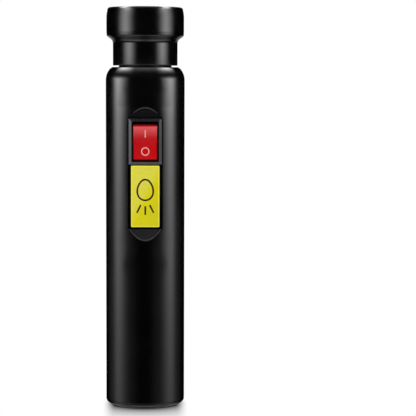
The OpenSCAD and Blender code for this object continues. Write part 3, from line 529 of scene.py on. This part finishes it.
def bar_sign(u_low, u_high, w):
    """A bar along the rocker, w wide, with half-round ends."""
    t = np.linspace(0, np.pi, 33)
    u = (u_low + u_high) / 2 - (u_high - u_low) / 2 * np.cos(t)
    end = np.minimum(u - u_low, u_high - u)
    wide = np.sqrt(np.maximum(1 - (1 - np.minimum(end / (w / 2), 1)) ** 2, 0.004)) * w / 2
    points = on_rocker(stroke[:, 0] * wide[:, None], u[:, None] + 0 * stroke[:, 0],
                       face_height(u)[:, None] + stroke[:, 1])
    return points.reshape(-1, 3), sleeve(len(u), len(stroke))


def ring_sign(u_middle, r, w):
    """A ring of radius r round a point on the rocker, with a stroke w wide."""
    t = np.linspace(0, 2 * np.pi, RING_SIDES, endpoint=False)[:, None]
    radius = r + stroke[:, 0] * w / 2
    u = u_middle + radius * np.cos(t)
    points = on_rocker(radius * np.sin(t), u, face_height(u) + stroke[:, 1])
    return points.reshape(-1, 3), grid_quads(RING_SIDES, len(stroke)).reshape(-1, 4).tolist()


piece("rocker_signs", "rocker", "sign_cream", None, bar_sign(2.3, 5.75, 0.52), ring_sign(-3.95, 1.62, 0.43))

# %% [markdown]
# ## Label
# A thin plastic plate is stuck to the flat below the switch. It is a stack of rounded rectangles: the back, the
# edge and a slightly smaller front. A plain sign of an egg over three rays is printed on it.

# %% Label
def rounded_box(half_x, half_z, r):
    """Outline of a rectangle with round corners, in X and Z."""
    return rounded([(half_x, half_z, r), (-half_x, half_z, r), (-half_x, -half_z, r), (half_x, -half_z, r)])


LABEL_R = 0.5
label_half = (label_high - label_low) / 2
label_z = (label_high + label_low)[2] / 2
label_front = label_low[1]
layers = [(0, -flat_y), (0, label_front + 0.06), (0.02, label_front + 0.015), (0.06, label_front)]
stack = [np.insert(rounded_box(label_half[0] - inset, label_half[2] - inset, LABEL_R), 1, depth_y, 1)
         for inset, depth_y in layers]
plate_points = np.concatenate(stack) + [0, 0, label_z]
plate_faces = sleeve(len(stack), len(stack[0]))
piece("label_plate", "lamp", "label_yellow", "name_label", (plate_points, plate_faces))


def printed_line(path, w, closed):
    """A flat printed stroke w wide along a path of (x, z) points on the label's front."""
    if closed:
        along = np.roll(path, -1, 0) - np.roll(path, 1, 0)
    else:
        along = np.gradient(path, axis=0)
    sideways = np.stack([along[:, 1], -along[:, 0]], 1) / np.linalg.norm(along, axis=1, keepdims=True)
    section = np.array([(-1, 0.03), (-1, -0.012), (-0.9, -0.02), (0.9, -0.02), (1, -0.012), (1, 0.03)])
    xz = path[:, None] + sideways[:, None] * (section[:, :1] * w / 2)
    points = np.insert(xz, 1, label_front + section[:, 1], 2) + [0, 0, label_z]
    if closed:
        return points.reshape(-1, 3), grid_quads(len(path), len(section)).reshape(-1, 4).tolist()
    return points.reshape(-1, 3), sleeve(len(path), len(section))


PRINT_W = 0.75
t = np.linspace(0, 2 * np.pi, 96, endpoint=False)
egg = np.stack([3.5 * np.sin(t) * (1 - 0.14 * np.cos(t)), 2.9 + 4.6 * np.cos(t)], 1)
rays = [np.linspace((2.0 * k, -4.3 + 0.5 * abs(k)), (3.7 * k, -8.2 + 0.9 * abs(k)), 8) for k in (-1, 0, 1)]
piece("label_sign", "lamp", "print_black", None, printed_line(egg, PRINT_W, True),
      *[printed_line(ray, PRINT_W, False) for ray in rays])

# %% [markdown]
# ## Finishes
# Black plastic shows its finish only where it catches light, so what matters is a fine moulded grain, which
# breaks up the highlight, and slow changes in gloss. Both are needed in many finishes, so they are made once as
# node groups.

# %% Shared effects
def group(name, inputs, outputs):
    """A new shader node group with number inputs (name, value) and number outputs (name)."""
    tree = bpy.data.node_groups.new(name, "ShaderNodeTree")
    for label, value in inputs:
        tree.interface.new_socket(label, in_out="INPUT", socket_type="NodeSocketFloat").default_value = value
    for label in outputs:
        tree.interface.new_socket(label, in_out="OUTPUT", socket_type="NodeSocketFloat")
    return tree, tree.nodes.new("NodeGroupInput"), tree.nodes.new("NodeGroupOutput")


def node(tree, kind, **values):
    """A new node. Each value goes to the input of its name, with _ for a space, or else to the property of its
    name. A socket is linked, and anything else is set."""
    made = tree.nodes.new(kind)
    for key, value in values.items():
        socket = made.inputs.get(key.replace("_", " "))
        if socket is None:
            setattr(made, key, value)
        elif isinstance(value, bpy.types.NodeSocket):
            tree.links.new(value, socket)
        else:
            socket.default_value = value
    return made


grain, grain_in, grain_out = group("moulded grain", [("Scale", 3000)], ["Height"])
spot = node(grain, "ShaderNodeTexCoord").outputs["Object"]
fine = node(grain, "ShaderNodeTexNoise", Vector=spot, Scale=grain_in.outputs["Scale"],
            Detail=2.0, Roughness=0.55)
grain.links.new(fine.outputs["Fac"], grain_out.inputs["Height"])

patch, patch_in, patch_out = group("slow patches", [("Scale", 90), ("Low", 0.3), ("High", 0.4)],
                                   ["Value", "Mask"])
spot = node(patch, "ShaderNodeTexCoord").outputs["Object"]
slow = node(patch, "ShaderNodeTexNoise", Vector=spot, Scale=patch_in.outputs["Scale"],
            Detail=3.0, Roughness=0.6)
spread, ease = (node(patch, "ShaderNodeMapRange", Value=slow.outputs["Fac"], From_Min=0.3, From_Max=0.7)
                for _ in range(2))
patch.links.new(patch_in.outputs["Low"], spread.inputs["To Min"])
patch.links.new(patch_in.outputs["High"], spread.inputs["To Max"])
patch.links.new(spread.outputs["Result"], patch_out.inputs["Value"])
patch.links.new(ease.outputs["Result"], patch_out.inputs["Mask"])
print("groups", [g.name for g in bpy.data.node_groups])

# %% [markdown]
# One recipe then makes every plain finish: two close colours mixed by the slow patches, a gloss that drifts
# between two values, and the grain as a bump of a real depth. Values that are the same all over go straight
# into the shader.

# %% Finish recipe
COLOUR_A, COLOUR_B, MIXED = 6, 7, 2


def finish(name, colour, shade, gloss, grain_mm, depth_mm, patch_mm=11, **plain):
    """A finish with two colours, a roughness range, grain of a size and depth, and plain values."""
    material = bpy.data.materials.new(name)
    material.use_nodes = True
    tree = material.node_tree
    skin = tree.nodes["Principled BSDF"].inputs
    for socket, value in plain.items():
        skin[socket.replace("_", " ")].default_value = value
    patches = node(tree, "ShaderNodeGroup", node_tree=patch, Scale=1000 / patch_mm, Low=gloss[0], High=gloss[1])
    tint = node(tree, "ShaderNodeMix", data_type="RGBA", Factor=patches.outputs["Mask"])
    tint.inputs[COLOUR_A].default_value, tint.inputs[COLOUR_B].default_value = (*colour, 1), (*shade, 1)
    grains = node(tree, "ShaderNodeGroup", node_tree=grain, Scale=1000 / grain_mm)
    bump = node(tree, "ShaderNodeBump", Strength=1.0, Distance=depth_mm * MM, Height=grains.outputs["Height"])
    tree.links.new(tint.outputs[MIXED], skin["Base Color"])
    tree.links.new(patches.outputs["Value"], skin["Roughness"])
    tree.links.new(bump.outputs["Normal"], skin["Normal"])
    return material


finishes = {
    "handle_black": finish("handle plastic", (0.0005, 0.0005, 0.0006), (0.0010, 0.0010, 0.0011), (0.20, 0.26),
                           0.45, 0.005, 14, Specular_IOR_Level=0.5),
    "cup_rubber": finish("cup rubber", (0.0004, 0.0004, 0.0004), (0.0008, 0.0008, 0.0008), (0.18, 0.22),
                         0.6, 0.002, 16, Specular_IOR_Level=0.5),
    "neck_black": finish("neck plastic", (0.002, 0.002, 0.0022), (0.003, 0.003, 0.0033), (0.3, 0.4),
                         0.5, 0.006),
    "seal_rubber": finish("seal rubber", (0.006, 0.006, 0.006), (0.012, 0.012, 0.012), (0.6, 0.75), 0.2, 0.01),
    "switch_black": finish("switch plastic", (0.004, 0.004, 0.0045), (0.007, 0.007, 0.0075), (0.26, 0.34),
                           0.3, 0.004),
    "rocker_red": finish("rocker red", (0.56, 0.0019, 0.0056), (0.47, 0.0013, 0.0043), (0.22, 0.28),
                         0.45, 0.004, 6, Specular_IOR_Level=0.4),
    "plunger_cream": finish("plunger nylon", (0.72, 0.66, 0.50), (0.64, 0.58, 0.43), (0.4, 0.5), 0.3, 0.004),
    "reflector_bright": finish("bowl metal", (0.86, 0.87, 0.88), (0.78, 0.79, 0.80), (0.10, 0.18),
                               0.7, 0.02, Metallic=1.0),
    "led_ceramic": finish("led ceramic", (0.80, 0.78, 0.72), (0.72, 0.70, 0.64), (0.45, 0.6), 0.15, 0.003),
    "led_phosphor": finish("led phosphor", (0.85, 0.62, 0.06), (0.78, 0.55, 0.04), (0.12, 0.2),
                           0.3, 0.002, Coat_Weight=0.5),
    "board_white": finish("board lacquer", (0.78, 0.79, 0.80), (0.70, 0.71, 0.72), (0.3, 0.45), 0.4, 0.006),
    "sink_aluminium": finish("sink aluminium", (0.72, 0.73, 0.74), (0.60, 0.61, 0.62), (0.28, 0.42),
                             0.25, 0.01, Metallic=1.0),
    "steel": finish("bright steel", (0.62, 0.62, 0.60), (0.52, 0.52, 0.50), (0.22, 0.36),
                    0.2, 0.004, Metallic=1.0),
    "contact_brass": finish("contact brass", (0.70, 0.46, 0.16), (0.58, 0.36, 0.12), (0.25, 0.42),
                            0.2, 0.004, Metallic=1.0),
    "plated_contact": finish("plated contact", (0.80, 0.78, 0.72), (0.70, 0.67, 0.60), (0.2, 0.32),
                             0.2, 0.003, Metallic=1.0),
    "lead_red": finish("red lead", (0.50, 0.01, 0.012), (0.42, 0.008, 0.01), (0.38, 0.5), 0.3, 0.006),
    "lead_black": finish("black lead", (0.008, 0.008, 0.008), (0.014, 0.014, 0.014), (0.38, 0.5), 0.3, 0.006),
    "sign_cream": finish("sign paint", (0.88, 0.46, 0.42), (0.80, 0.38, 0.35), (0.4, 0.5), 0.2, 0.003),
    "print_black": finish("print ink", (0.004, 0.004, 0.004), (0.008, 0.008, 0.008), (0.35, 0.5), 0.15, 0.002),
    "lens_clear": finish("lens plastic", (0.95, 0.97, 0.98), (0.92, 0.95, 0.96), (0.02, 0.06),
                         2.0, 0.002, IOR=1.49, Transmission_Weight=1.0),
}
print("plain finishes", len(finishes))

# %% [markdown]
# Some finishes change from place to place: a painted highlight near an edge, a painted ring, painted shade at an
# end. Such a mask is a sum worked out from the piece's own coordinates, and each plus or times in it is a Math
# node. A long row of nodes is hard to read, so a small class stands for a number that changes over a surface,
# and plain arithmetic on it makes the nodes.

# %% Numbers that change over a surface
def operation(name, turned=False):
    """A method that adds one Math node, fed by the field and another number, or by the two turned round."""
    def method(field, other=0):
        return field.math(name, *((other, field) if turned else (field, other)))
    return method


class Field:
    """A socket of a node tree that can be reckoned with as a number. least and most give the smaller and the
    larger of two, and exp the power of e. numpy leaves sums with a field to the field."""
    __array_ufunc__ = None
    __add__ = __radd__ = operation("ADD")
    __mul__ = __rmul__ = operation("MULTIPLY")
    __sub__, __rsub__ = operation("SUBTRACT"), operation("SUBTRACT", True)
    __truediv__, __rtruediv__ = operation("DIVIDE"), operation("DIVIDE", True)
    __lt__, __gt__ = operation("LESS_THAN"), operation("GREATER_THAN")
    __abs__, sqrt, exp = operation("ABSOLUTE"), operation("SQRT"), operation("EXPONENT")
    least, most = operation("MINIMUM"), operation("MAXIMUM")

    def __init__(self, tree, socket):
        self.tree, self.socket = tree, socket

    def math(self, name, a, b=0):
        """A Math node fed by two fields or numbers."""
        made = node(self.tree, "ShaderNodeMath", operation=name)
        for socket, value in zip(made.inputs, (a, b)):
            if isinstance(value, Field):
                value.to(socket)
            else:
                socket.default_value = value
        return Field(self.tree, made.outputs[0])

    def to(self, socket):
        """Feeds another node's socket."""
        self.tree.links.new(self.socket, socket)


def turn_of(across, ahead):
    """The turn of a direction in degrees: atan2(across, ahead)."""
    return across.math("DEGREES", across.math("ARCTAN2", across, ahead))


def ramp(value, low, high):
    """A soft step: 0 below low, 1 above high, eased between."""
    made = node(value.tree, "ShaderNodeMapRange", interpolation_type="SMOOTHSTEP", Value=value.socket,
                From_Min=low, From_Max=high)
    return Field(value.tree, made.outputs["Result"])


def band(value, a, b, c, d):
    """A soft band: rises from a to b and falls from c to d."""
    return ramp(value, a, b) * (1 - ramp(value, c, d))


def coordinates(material):
    """The X, Y and Z of a finish's object coordinates, in metres."""
    tree = material.node_tree
    spot = node(tree, "ShaderNodeTexCoord").outputs["Object"]
    return [Field(tree, axis) for axis in node(tree, "ShaderNodeSeparateXYZ", Vector=spot).outputs]


def over_paint(material, mask, colour):
    """Lays a colour over a finish's own where the mask is 1."""
    tree = material.node_tree
    base = tree.nodes["Principled BSDF"].inputs["Base Color"]
    paint = node(tree, "ShaderNodeMix", data_type="RGBA", Factor=mask.socket)
    paint.inputs[COLOUR_B].default_value = (*colour, 1)
    tree.links.new(base.links[0].from_socket, paint.inputs[COLOUR_A])
    tree.links.new(paint.outputs[MIXED], base)


# %% [markdown]
# The label carries a painted edge highlight, a paler line near its edge, and a painted sheen that makes it
# paler towards one corner. The resistor carries four painted rings.

# %% Label and resistor finishes
EDGE_HIGHLIGHT_W, SHEEN_REACH, RING_HALF = 0.55, 9, 0.35
label = finish("label yellow", (0.74, 0.66, 0.004), (0.68, 0.61, 0.003), (0.22, 0.34), 0.5, 0.004, 9,
               Coat_Weight=0.3)
x, y, z = coordinates(label)
from_side = label_half[0] * MM - abs(x)
from_end = label_half[2] * MM - abs(z - label_z * MM)
sheen_corner = z - (label_z - 4) * MM - x * 1.7
# Painted sheen: the label is painted paler towards one corner.
over_paint(label, ramp(sheen_corner, 0, SHEEN_REACH * MM) * 0.8, (0.74, 0.69, 0.075))
# Painted edge highlight: a paler line painted along the label's edge.
over_paint(label, from_side.least(from_end) < EDGE_HIGHLIGHT_W * MM, (0.86, 0.80, 0.06))
finishes["label_yellow"] = label

resistor = finish("resistor lacquer", (0.10, 0.24, 0.52), (0.08, 0.20, 0.45), (0.25, 0.35), 0.3, 0.004)
x, y, z = coordinates(resistor)
resistor_low, resistor_high = span("series_resistor")
for share, paint in ((0.2, (0.35, 0.12, 0.02)), (0.36, (0.01, 0.01, 0.01)), (0.52, (0.01, 0.01, 0.01)),
                     (0.82, (0.55, 0.35, 0.05))):
    ring_z = resistor_low[2] + share * (resistor_high[2] - resistor_low[2])
    over_paint(resistor, abs(z - ring_z * MM) < RING_HALF * MM, paint)
finishes["resistor_blue"] = resistor
print("finishes", len(finishes))

# %% [markdown]
# The scoops' floors are painted paler than the skin round them, a painted sheen for the light they catch, and a
# thin line along their edges is painted paler still, a painted highlight. The mask compares the depth of the
# tube's skin with the depth of the cut at each place. The upper scoop, which faces down, is painted darker as
# painted shade, and its highlight line fades towards the switch.

# %% Scoops on the handle
LINE_IN, LINE_OUT = 0.04, 0.13
handle = finishes["handle_black"]
x, y, z = coordinates(handle)
low_share = (flat_low * MM - z) / (SCOOP_LOW * MM)
high_share = (z - flat_top * MM) / (SCOOP_HIGH * MM)
share = low_share.most(high_share)
cut = (flat_y + STEP) * MM + share * (scoop_rise * MM)
inside = ((tube_r * MM) ** 2 - x * x).sqrt() - cut
in_front = (y < 0) * (share > 0)
scoop_floor = in_front * (inside > 0)
# Painted sheen: the scoops' floors are painted paler than the skin round them.
over_paint(handle, scoop_floor, (0.013, 0.013, 0.0145))
# Painted shade: the upper scoop, which faces down, is painted darker.
over_paint(handle, scoop_floor * (z > flat_top * MM), (0.006, 0.006, 0.007))
# Painted highlight: a paler line along the scoops' rounded edges.
edge_highlight = 1 - ramp(abs(inside), LINE_IN * MM, LINE_OUT * MM)
edge_highlight = edge_highlight * (low_share > 0).most(ramp(high_share, 0.3, 0.7))
over_paint(handle, in_front * edge_highlight, (0.043, 0.043, 0.046))
print("handle nodes", len(handle.node_tree.nodes))

# %% [markdown]
# The bezel's two end strips carry painted reflections, paler than its sides, the lower one slightly blue. The
# rocker's face has a painted sheen that makes it paler towards its upper end. The end itself lies in the bezel's
# shade, which the lights here don't give, so it is painted a full red and then nearly black, as painted shade.

# %% Bezel and rocker
STRIP = 1.2
bezel = finishes["switch_black"]
x, y, z = coordinates(bezel)
# Painted reflections on the bezel's end strips: bluish at the bottom, grey at the top.
over_paint(bezel, z < (switch_low[2] + STRIP) * MM, (0.045, 0.051, 0.080))
over_paint(bezel, z > (switch_high[2] - STRIP) * MM, (0.018, 0.018, 0.019))
rocker = finishes["rocker_red"]
x, y, z = coordinates(rocker)
up_face = z - pivot[2] * MM
# Painted sheen towards the rocker's upper end, then full red, then painted shade on the end itself.
for low, high, paint in ((0.5, 8.5, (0.84, 0.115, 0.13)), (6.25, 7.1, (0.6, 0.0018, 0.006)),
                         (6.4, 7.95, (0.012, 0.0005, 0.001))):
    over_paint(rocker, ramp(up_face, low * MM, high * MM), paint)
print("rocker nodes", len(rocker.node_tree.nodes))

# %% [markdown]
# ## Finishes on the pieces
# The record names a slot for every CAD node. New pieces take the finish of their slot, and so do the CAD nodes
# that stay: the seals, the inlet, the switch's frame and works, and the wiring.

# %% Give out the finishes
for row in frame["record"]["subparts"]:
    kept = frame["nodes"][row["node"]]
    kept.data.materials.clear()
    kept.data.materials.append(finishes[row["material_slot"]])
for obj, slot in pieces:
    obj.data.materials.append(finishes[slot])
print("dressed", len(pieces), "new pieces and", len(frame["nodes"]), "nodes")

# %% [markdown]
# ## Softer edges on three CAD pieces that stay
# A moulded or stamped edge is never razor sharp. The CAD meshes are loose triangles, so the switch's frame, the
# inlet and the lens ring are first welded and their flat faces joined, and then a bevel rounds each real edge
# and weighted normals keep the flats flat.

# %% Bevels on CAD pieces
def soften(name, width_mm):
    """Weld, dissolve flat triangles, bevel edges over 35 degrees and weight the normals, as live modifiers."""
    obj = frame["nodes"][name]
    weld = obj.modifiers.new("weld", "WELD")
    weld.merge_threshold = 1e-6
    flats = obj.modifiers.new("flats", "DECIMATE")
    flats.decimate_type = "DISSOLVE"
    flats.angle_limit = math.radians(0.4)
    round_off = obj.modifiers.new("edges", "BEVEL")
    round_off.width = width_mm * MM
    round_off.segments = 2
    round_off.limit_method = "ANGLE"
    round_off.angle_limit = math.radians(35)
    even = obj.modifiers.new("normals", "WEIGHTED_NORMAL")
    even.weight = 100
    print("softened", name, "by", width_mm, "mm")


for name, width_mm in (("switch_housing", 0.12), ("dc_jack", 0.1), ("lens_ring", 0.08)):
    soften(name, width_mm)

# %% [markdown]
# ## Studio
# Black plastic shows only what it reflects, so the studio is built for reflections, from sheets that give light
# of a strength worked out from the place on them. The same small class as for the finishes does that.

# %% Stage helpers
def emitter(name, strength):
    """A material made of light alone, whose strength is worked out from x, y, z, radius and turn in degrees.
    The turn is 0 in front of the lamp, rises to 180 behind it on the right and falls to -180 on the left."""
    material = bpy.data.materials.new(name)
    material.use_nodes = True
    tree = material.node_tree
    tree.nodes.remove(tree.nodes["Principled BSDF"])
    x, y, z = coordinates(material)
    light = strength(x, y, z, (x * x + y * y).sqrt(), turn_of(x, y * -1))
    glow = node(tree, "ShaderNodeEmission", Strength=light.socket)
    tree.links.new(glow.outputs[0], tree.nodes["Material Output"].inputs["Surface"])
    return material


def stage_sheet(name, points, material, *seen):
    """A stage piece from a (rows, cols, 3) grid of points in metres, seen by the named kinds of ray alone."""
    rows, cols = points.shape[:2]
    mesh = bpy.data.meshes.new(name)
    sheet_faces = grid_quads(rows, cols, False, False).reshape(-1, 4).tolist()
    mesh.from_pydata(points.reshape(-1, 3).tolist(), [], sheet_faces)
    mesh.shade_smooth()
    mesh.materials.append(material)
    obj = put(name, mesh)
    obj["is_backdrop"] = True
    for ray in ("camera", "diffuse", "glossy", "transmission", "shadow", "volume_scatter"):
        setattr(obj, "visible_" + ray, ray in seen)
    print("stage", name, "seen by", *seen)


def round_sheet(r, z):
    """Points of a sheet round the lamp from lists of radii and heights: x = r cos t, y = r sin t."""
    t = np.linspace(0, 2 * np.pi, 97)
    r, z = np.array(r)[:, None], np.array(z)[:, None]
    return np.stack([r * np.cos(t), r * np.sin(t), z + 0 * r * t], -1)


# %% [markdown]
# The floor is white to the camera and carries a painted shadow close to the foot. The shadow is deepest where
# the foot meets it, fades as an exponential of the distance, and lies mostly in front, as it does under a light
# that hangs a little behind. The world is as white where it is seen, and gives only a weak light of its own.

# %% Floor and backdrop
SHADE_FADE, FLOOR_R, AMBIENT = 0.0125, 6, 0.15


def seen_white(tree):
    """1 for rays from the camera, reflections and clear pieces, which see plain white."""
    path = node(tree, "ShaderNodeLightPath").outputs
    rays = ("Camera", "Glossy", "Transmission")
    seen, mirrored, through = (Field(tree, path[f"Is {ray} Ray"]) for ray in rays)
    return seen + (mirrored + through)


def floor_strength(x, y, z, radius, turn):
    """1 less a painted shadow that fades as exp(-distance from the foot) and ends at the foot's sides."""
    past = (radius - (tube_r - 0.6) * MM).most(0)
    fade = (past * (-1 / SHADE_FADE)).exp()
    beside = ramp(abs(x), 13.5 * MM, 19.5 * MM)
    return 1 - fade * (ramp(y, 0.004, -0.006) * (1 - beside))


floor = emitter("floor", floor_strength)
tree = floor.node_tree
output = tree.nodes["Material Output"].inputs["Surface"]
pale = node(tree, "ShaderNodeBsdfDiffuse", Color=(0.8, 0.8, 0.8, 1))
mix = node(tree, "ShaderNodeMixShader", Fac=seen_white(tree).socket)
tree.links.new(pale.outputs[0], mix.inputs[1])
tree.links.new(output.links[0].from_socket, mix.inputs[2])
tree.links.new(mix.outputs[0], output)
stage_sheet("floor", round_sheet([0, FLOOR_R], [0, 0]), floor, "camera", "diffuse", "transmission", "shadow")

world = bpy.data.worlds.new("studio")
bpy.context.scene.world = world
world.use_nodes = True
background = world.node_tree.nodes["Background"].inputs
background["Color"].default_value = (1, 1, 1, 1)
seen_white(world.node_tree).most(AMBIENT).to(background["Strength"])

# %% [markdown]
# A tent that only reflections see stands round the lamp. Its wall carries two soft lights at the sides, weaker
# towards the floor, and stays black in front and behind. A ring card that runs from the gap under the cup out
# to the wall parts the light for the cup from the light for the handle. Its two faces have strengths of their
# own, because the shoulder mirrors the one and the cup's cove the other.

# %% Tent wall, ceiling and floor
TENT_R, TENT_TOP, TENT_FOOT = 0.15, 0.30, -0.10
CARD_END = 0.149
HANDLE_MIDDLE, CUP_MIDDLE = -3, 1.8


def wall_strength(x, y, z, radius, turn):
    """Side lights: for the handle they grow as exp(height), for the cup they are even and nearer the front.
    High up they have a bright end for the lip, and low in front there is a pale strip."""
    grow = ((z - 0.1341) / 0.0845).exp() * 5.4 + (ramp(z, 0.1265, 0.157) * 3.4 + 0.15)
    handle_turn, cup_turn = abs(turn - HANDLE_MIDDLE), abs(turn - CUP_MIDDLE)
    haze = (1 - ramp(z, 0.05, 0.12)) * 0.26 * band(handle_turn, 10, 60, 80, 135)
    handle = grow * band(handle_turn, 45, 83, 72, 104) + haze
    cup = (1 - ramp(z, 0.235, 0.265)) * (band(cup_turn, 30, 62, 54, 90) * 5.5)
    cup = cup * (1 + band(z, 0.158, 0.165, 0.168, 0.176) * 0.22)
    cup = cup + ramp(z, 0.234, 0.250) * 15.0 * band(cup_turn, 44, 56, 76, 88)
    above = z > CARD_END
    strip = (1 - ramp(z, -0.090, -0.060)) * (1 - ramp(abs(turn), 40, 60))
    return above * cup + (1 - above) * handle + strip


def ceiling_strength(x, y, z, radius, turn):
    """Two bows of light for the lip, and a faint glow over the front. A place here is mirrored by the point of
    the lip whose turn is atan2(x, length - y), where the length runs from the lip to the place."""
    above_lip = TENT_TOP - top_z * MM
    length = (radius * radius + above_lip**2).sqrt()
    bows = band(turn_of(abs(x), length - y), 25, 30, 38, 44)
    return bows * 12.0 + (1 - ramp(abs(turn), 60, 90)) * 0.6


def below_strength(x, y, z, radius, turn):
    """A pale sheet under the lamp, dark below the foot and weaker at the sides."""
    front = 1 - ramp(abs(turn), 30, 75) * 0.55
    return front * (ramp(radius, 0.035, 0.085) * 1.7)


def tent(name, strength, r, z):
    """A sheet of light round the lamp that only reflections see."""
    stage_sheet(name, round_sheet(r, z), emitter(name, strength), "glossy")


tent("tent_wall", wall_strength, [TENT_R] * 12, np.linspace(TENT_FOOT, TENT_TOP, 12))
tent("tent_ceiling", ceiling_strength, [0, TENT_R], [TENT_TOP] * 2)
tent("tent_floor", below_strength, [0, TENT_R], [TENT_FOOT] * 2)


# %% Ring card
def card_strength(x, y, z, radius, turn):
    """The upper face: pale close to the neck in front, less so in the middle, black at the sides and pale again
    behind."""
    front = (0.8 + ramp(abs(turn), 3, 22) * 0.8) * (1 - ramp(abs(turn), 45, 95))
    near = ramp(radius, 0.0195, 0.0215) * 0.6 + 0.4
    front = front * (near * band(radius, 0.0140, 0.0155, 0.026, 0.036))
    return front + ramp(abs(turn), 115, 150) * 0.5


def card_back_strength(x, y, z, radius, turn):
    """The lower face: the side lights carried on over the shoulder. A place near the tube is mirrored at a
    wider turn than its own, by about 40 degrees times tube radius over radius. A second light, for the gap
    under the cup, fades as exp(-distance past the shoulder's rim), widens with it and is weaker in the
    middle."""
    lit_turn = abs(turn - HANDLE_MIDDLE) + tube_r * MM / radius * 40
    lit = band(lit_turn, 49, 88, 77, 109) * ramp(radius, 0.021, 0.052)
    past_rim = radius - rim * MM
    gap = ramp(abs(turn), 17, 36) * 19.5 + 2.6
    gap = gap * (1 - ramp(abs(turn) - past_rim * 3500, 36, 55))
    fade = (past_rim / -0.0012).exp() * ramp(radius, 0.0150, 0.0155)
    return gap * fade + lit * 8.6


card_r, card_z = [(neck_r + 0.1) * MM, TENT_R], (shoulder_z + collar_z) / 2 * MM
for name, strength, lift in (("card_top", card_strength, 0.0001), ("card_back", card_back_strength, -0.0001)):
    tent(name, strength, card_r, [card_z + lift, CARD_END + lift])

# %% [markdown]
# One soft lamp stands in front for the colours of the label and the rocker. It makes no reflections of its own.

# %% Front lamp
fill = put("front_lamp", bpy.data.lights.new("front_lamp", "AREA"))
fill.data.size = 0.25
fill.data.energy = 1.9
fill.visible_glossy = False
aimed = Matrix.Rotation(math.radians(-10), 4, "Z") @ Matrix.Rotation(math.radians(67), 4, "X")
fill.matrix_world = Matrix.Translation((-0.08, -0.45, 0.30)) @ aimed
print("front lamp", fill.data.energy, "W")

# %% [markdown]
# ## Finish
# The view transform is the plain one, so colours come out as they are written.

# %% Finish
bpy.context.scene.view_settings.view_transform = "Standard"
low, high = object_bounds()
print("box", [round(v / MM, 2) for v in high - low], "mm")
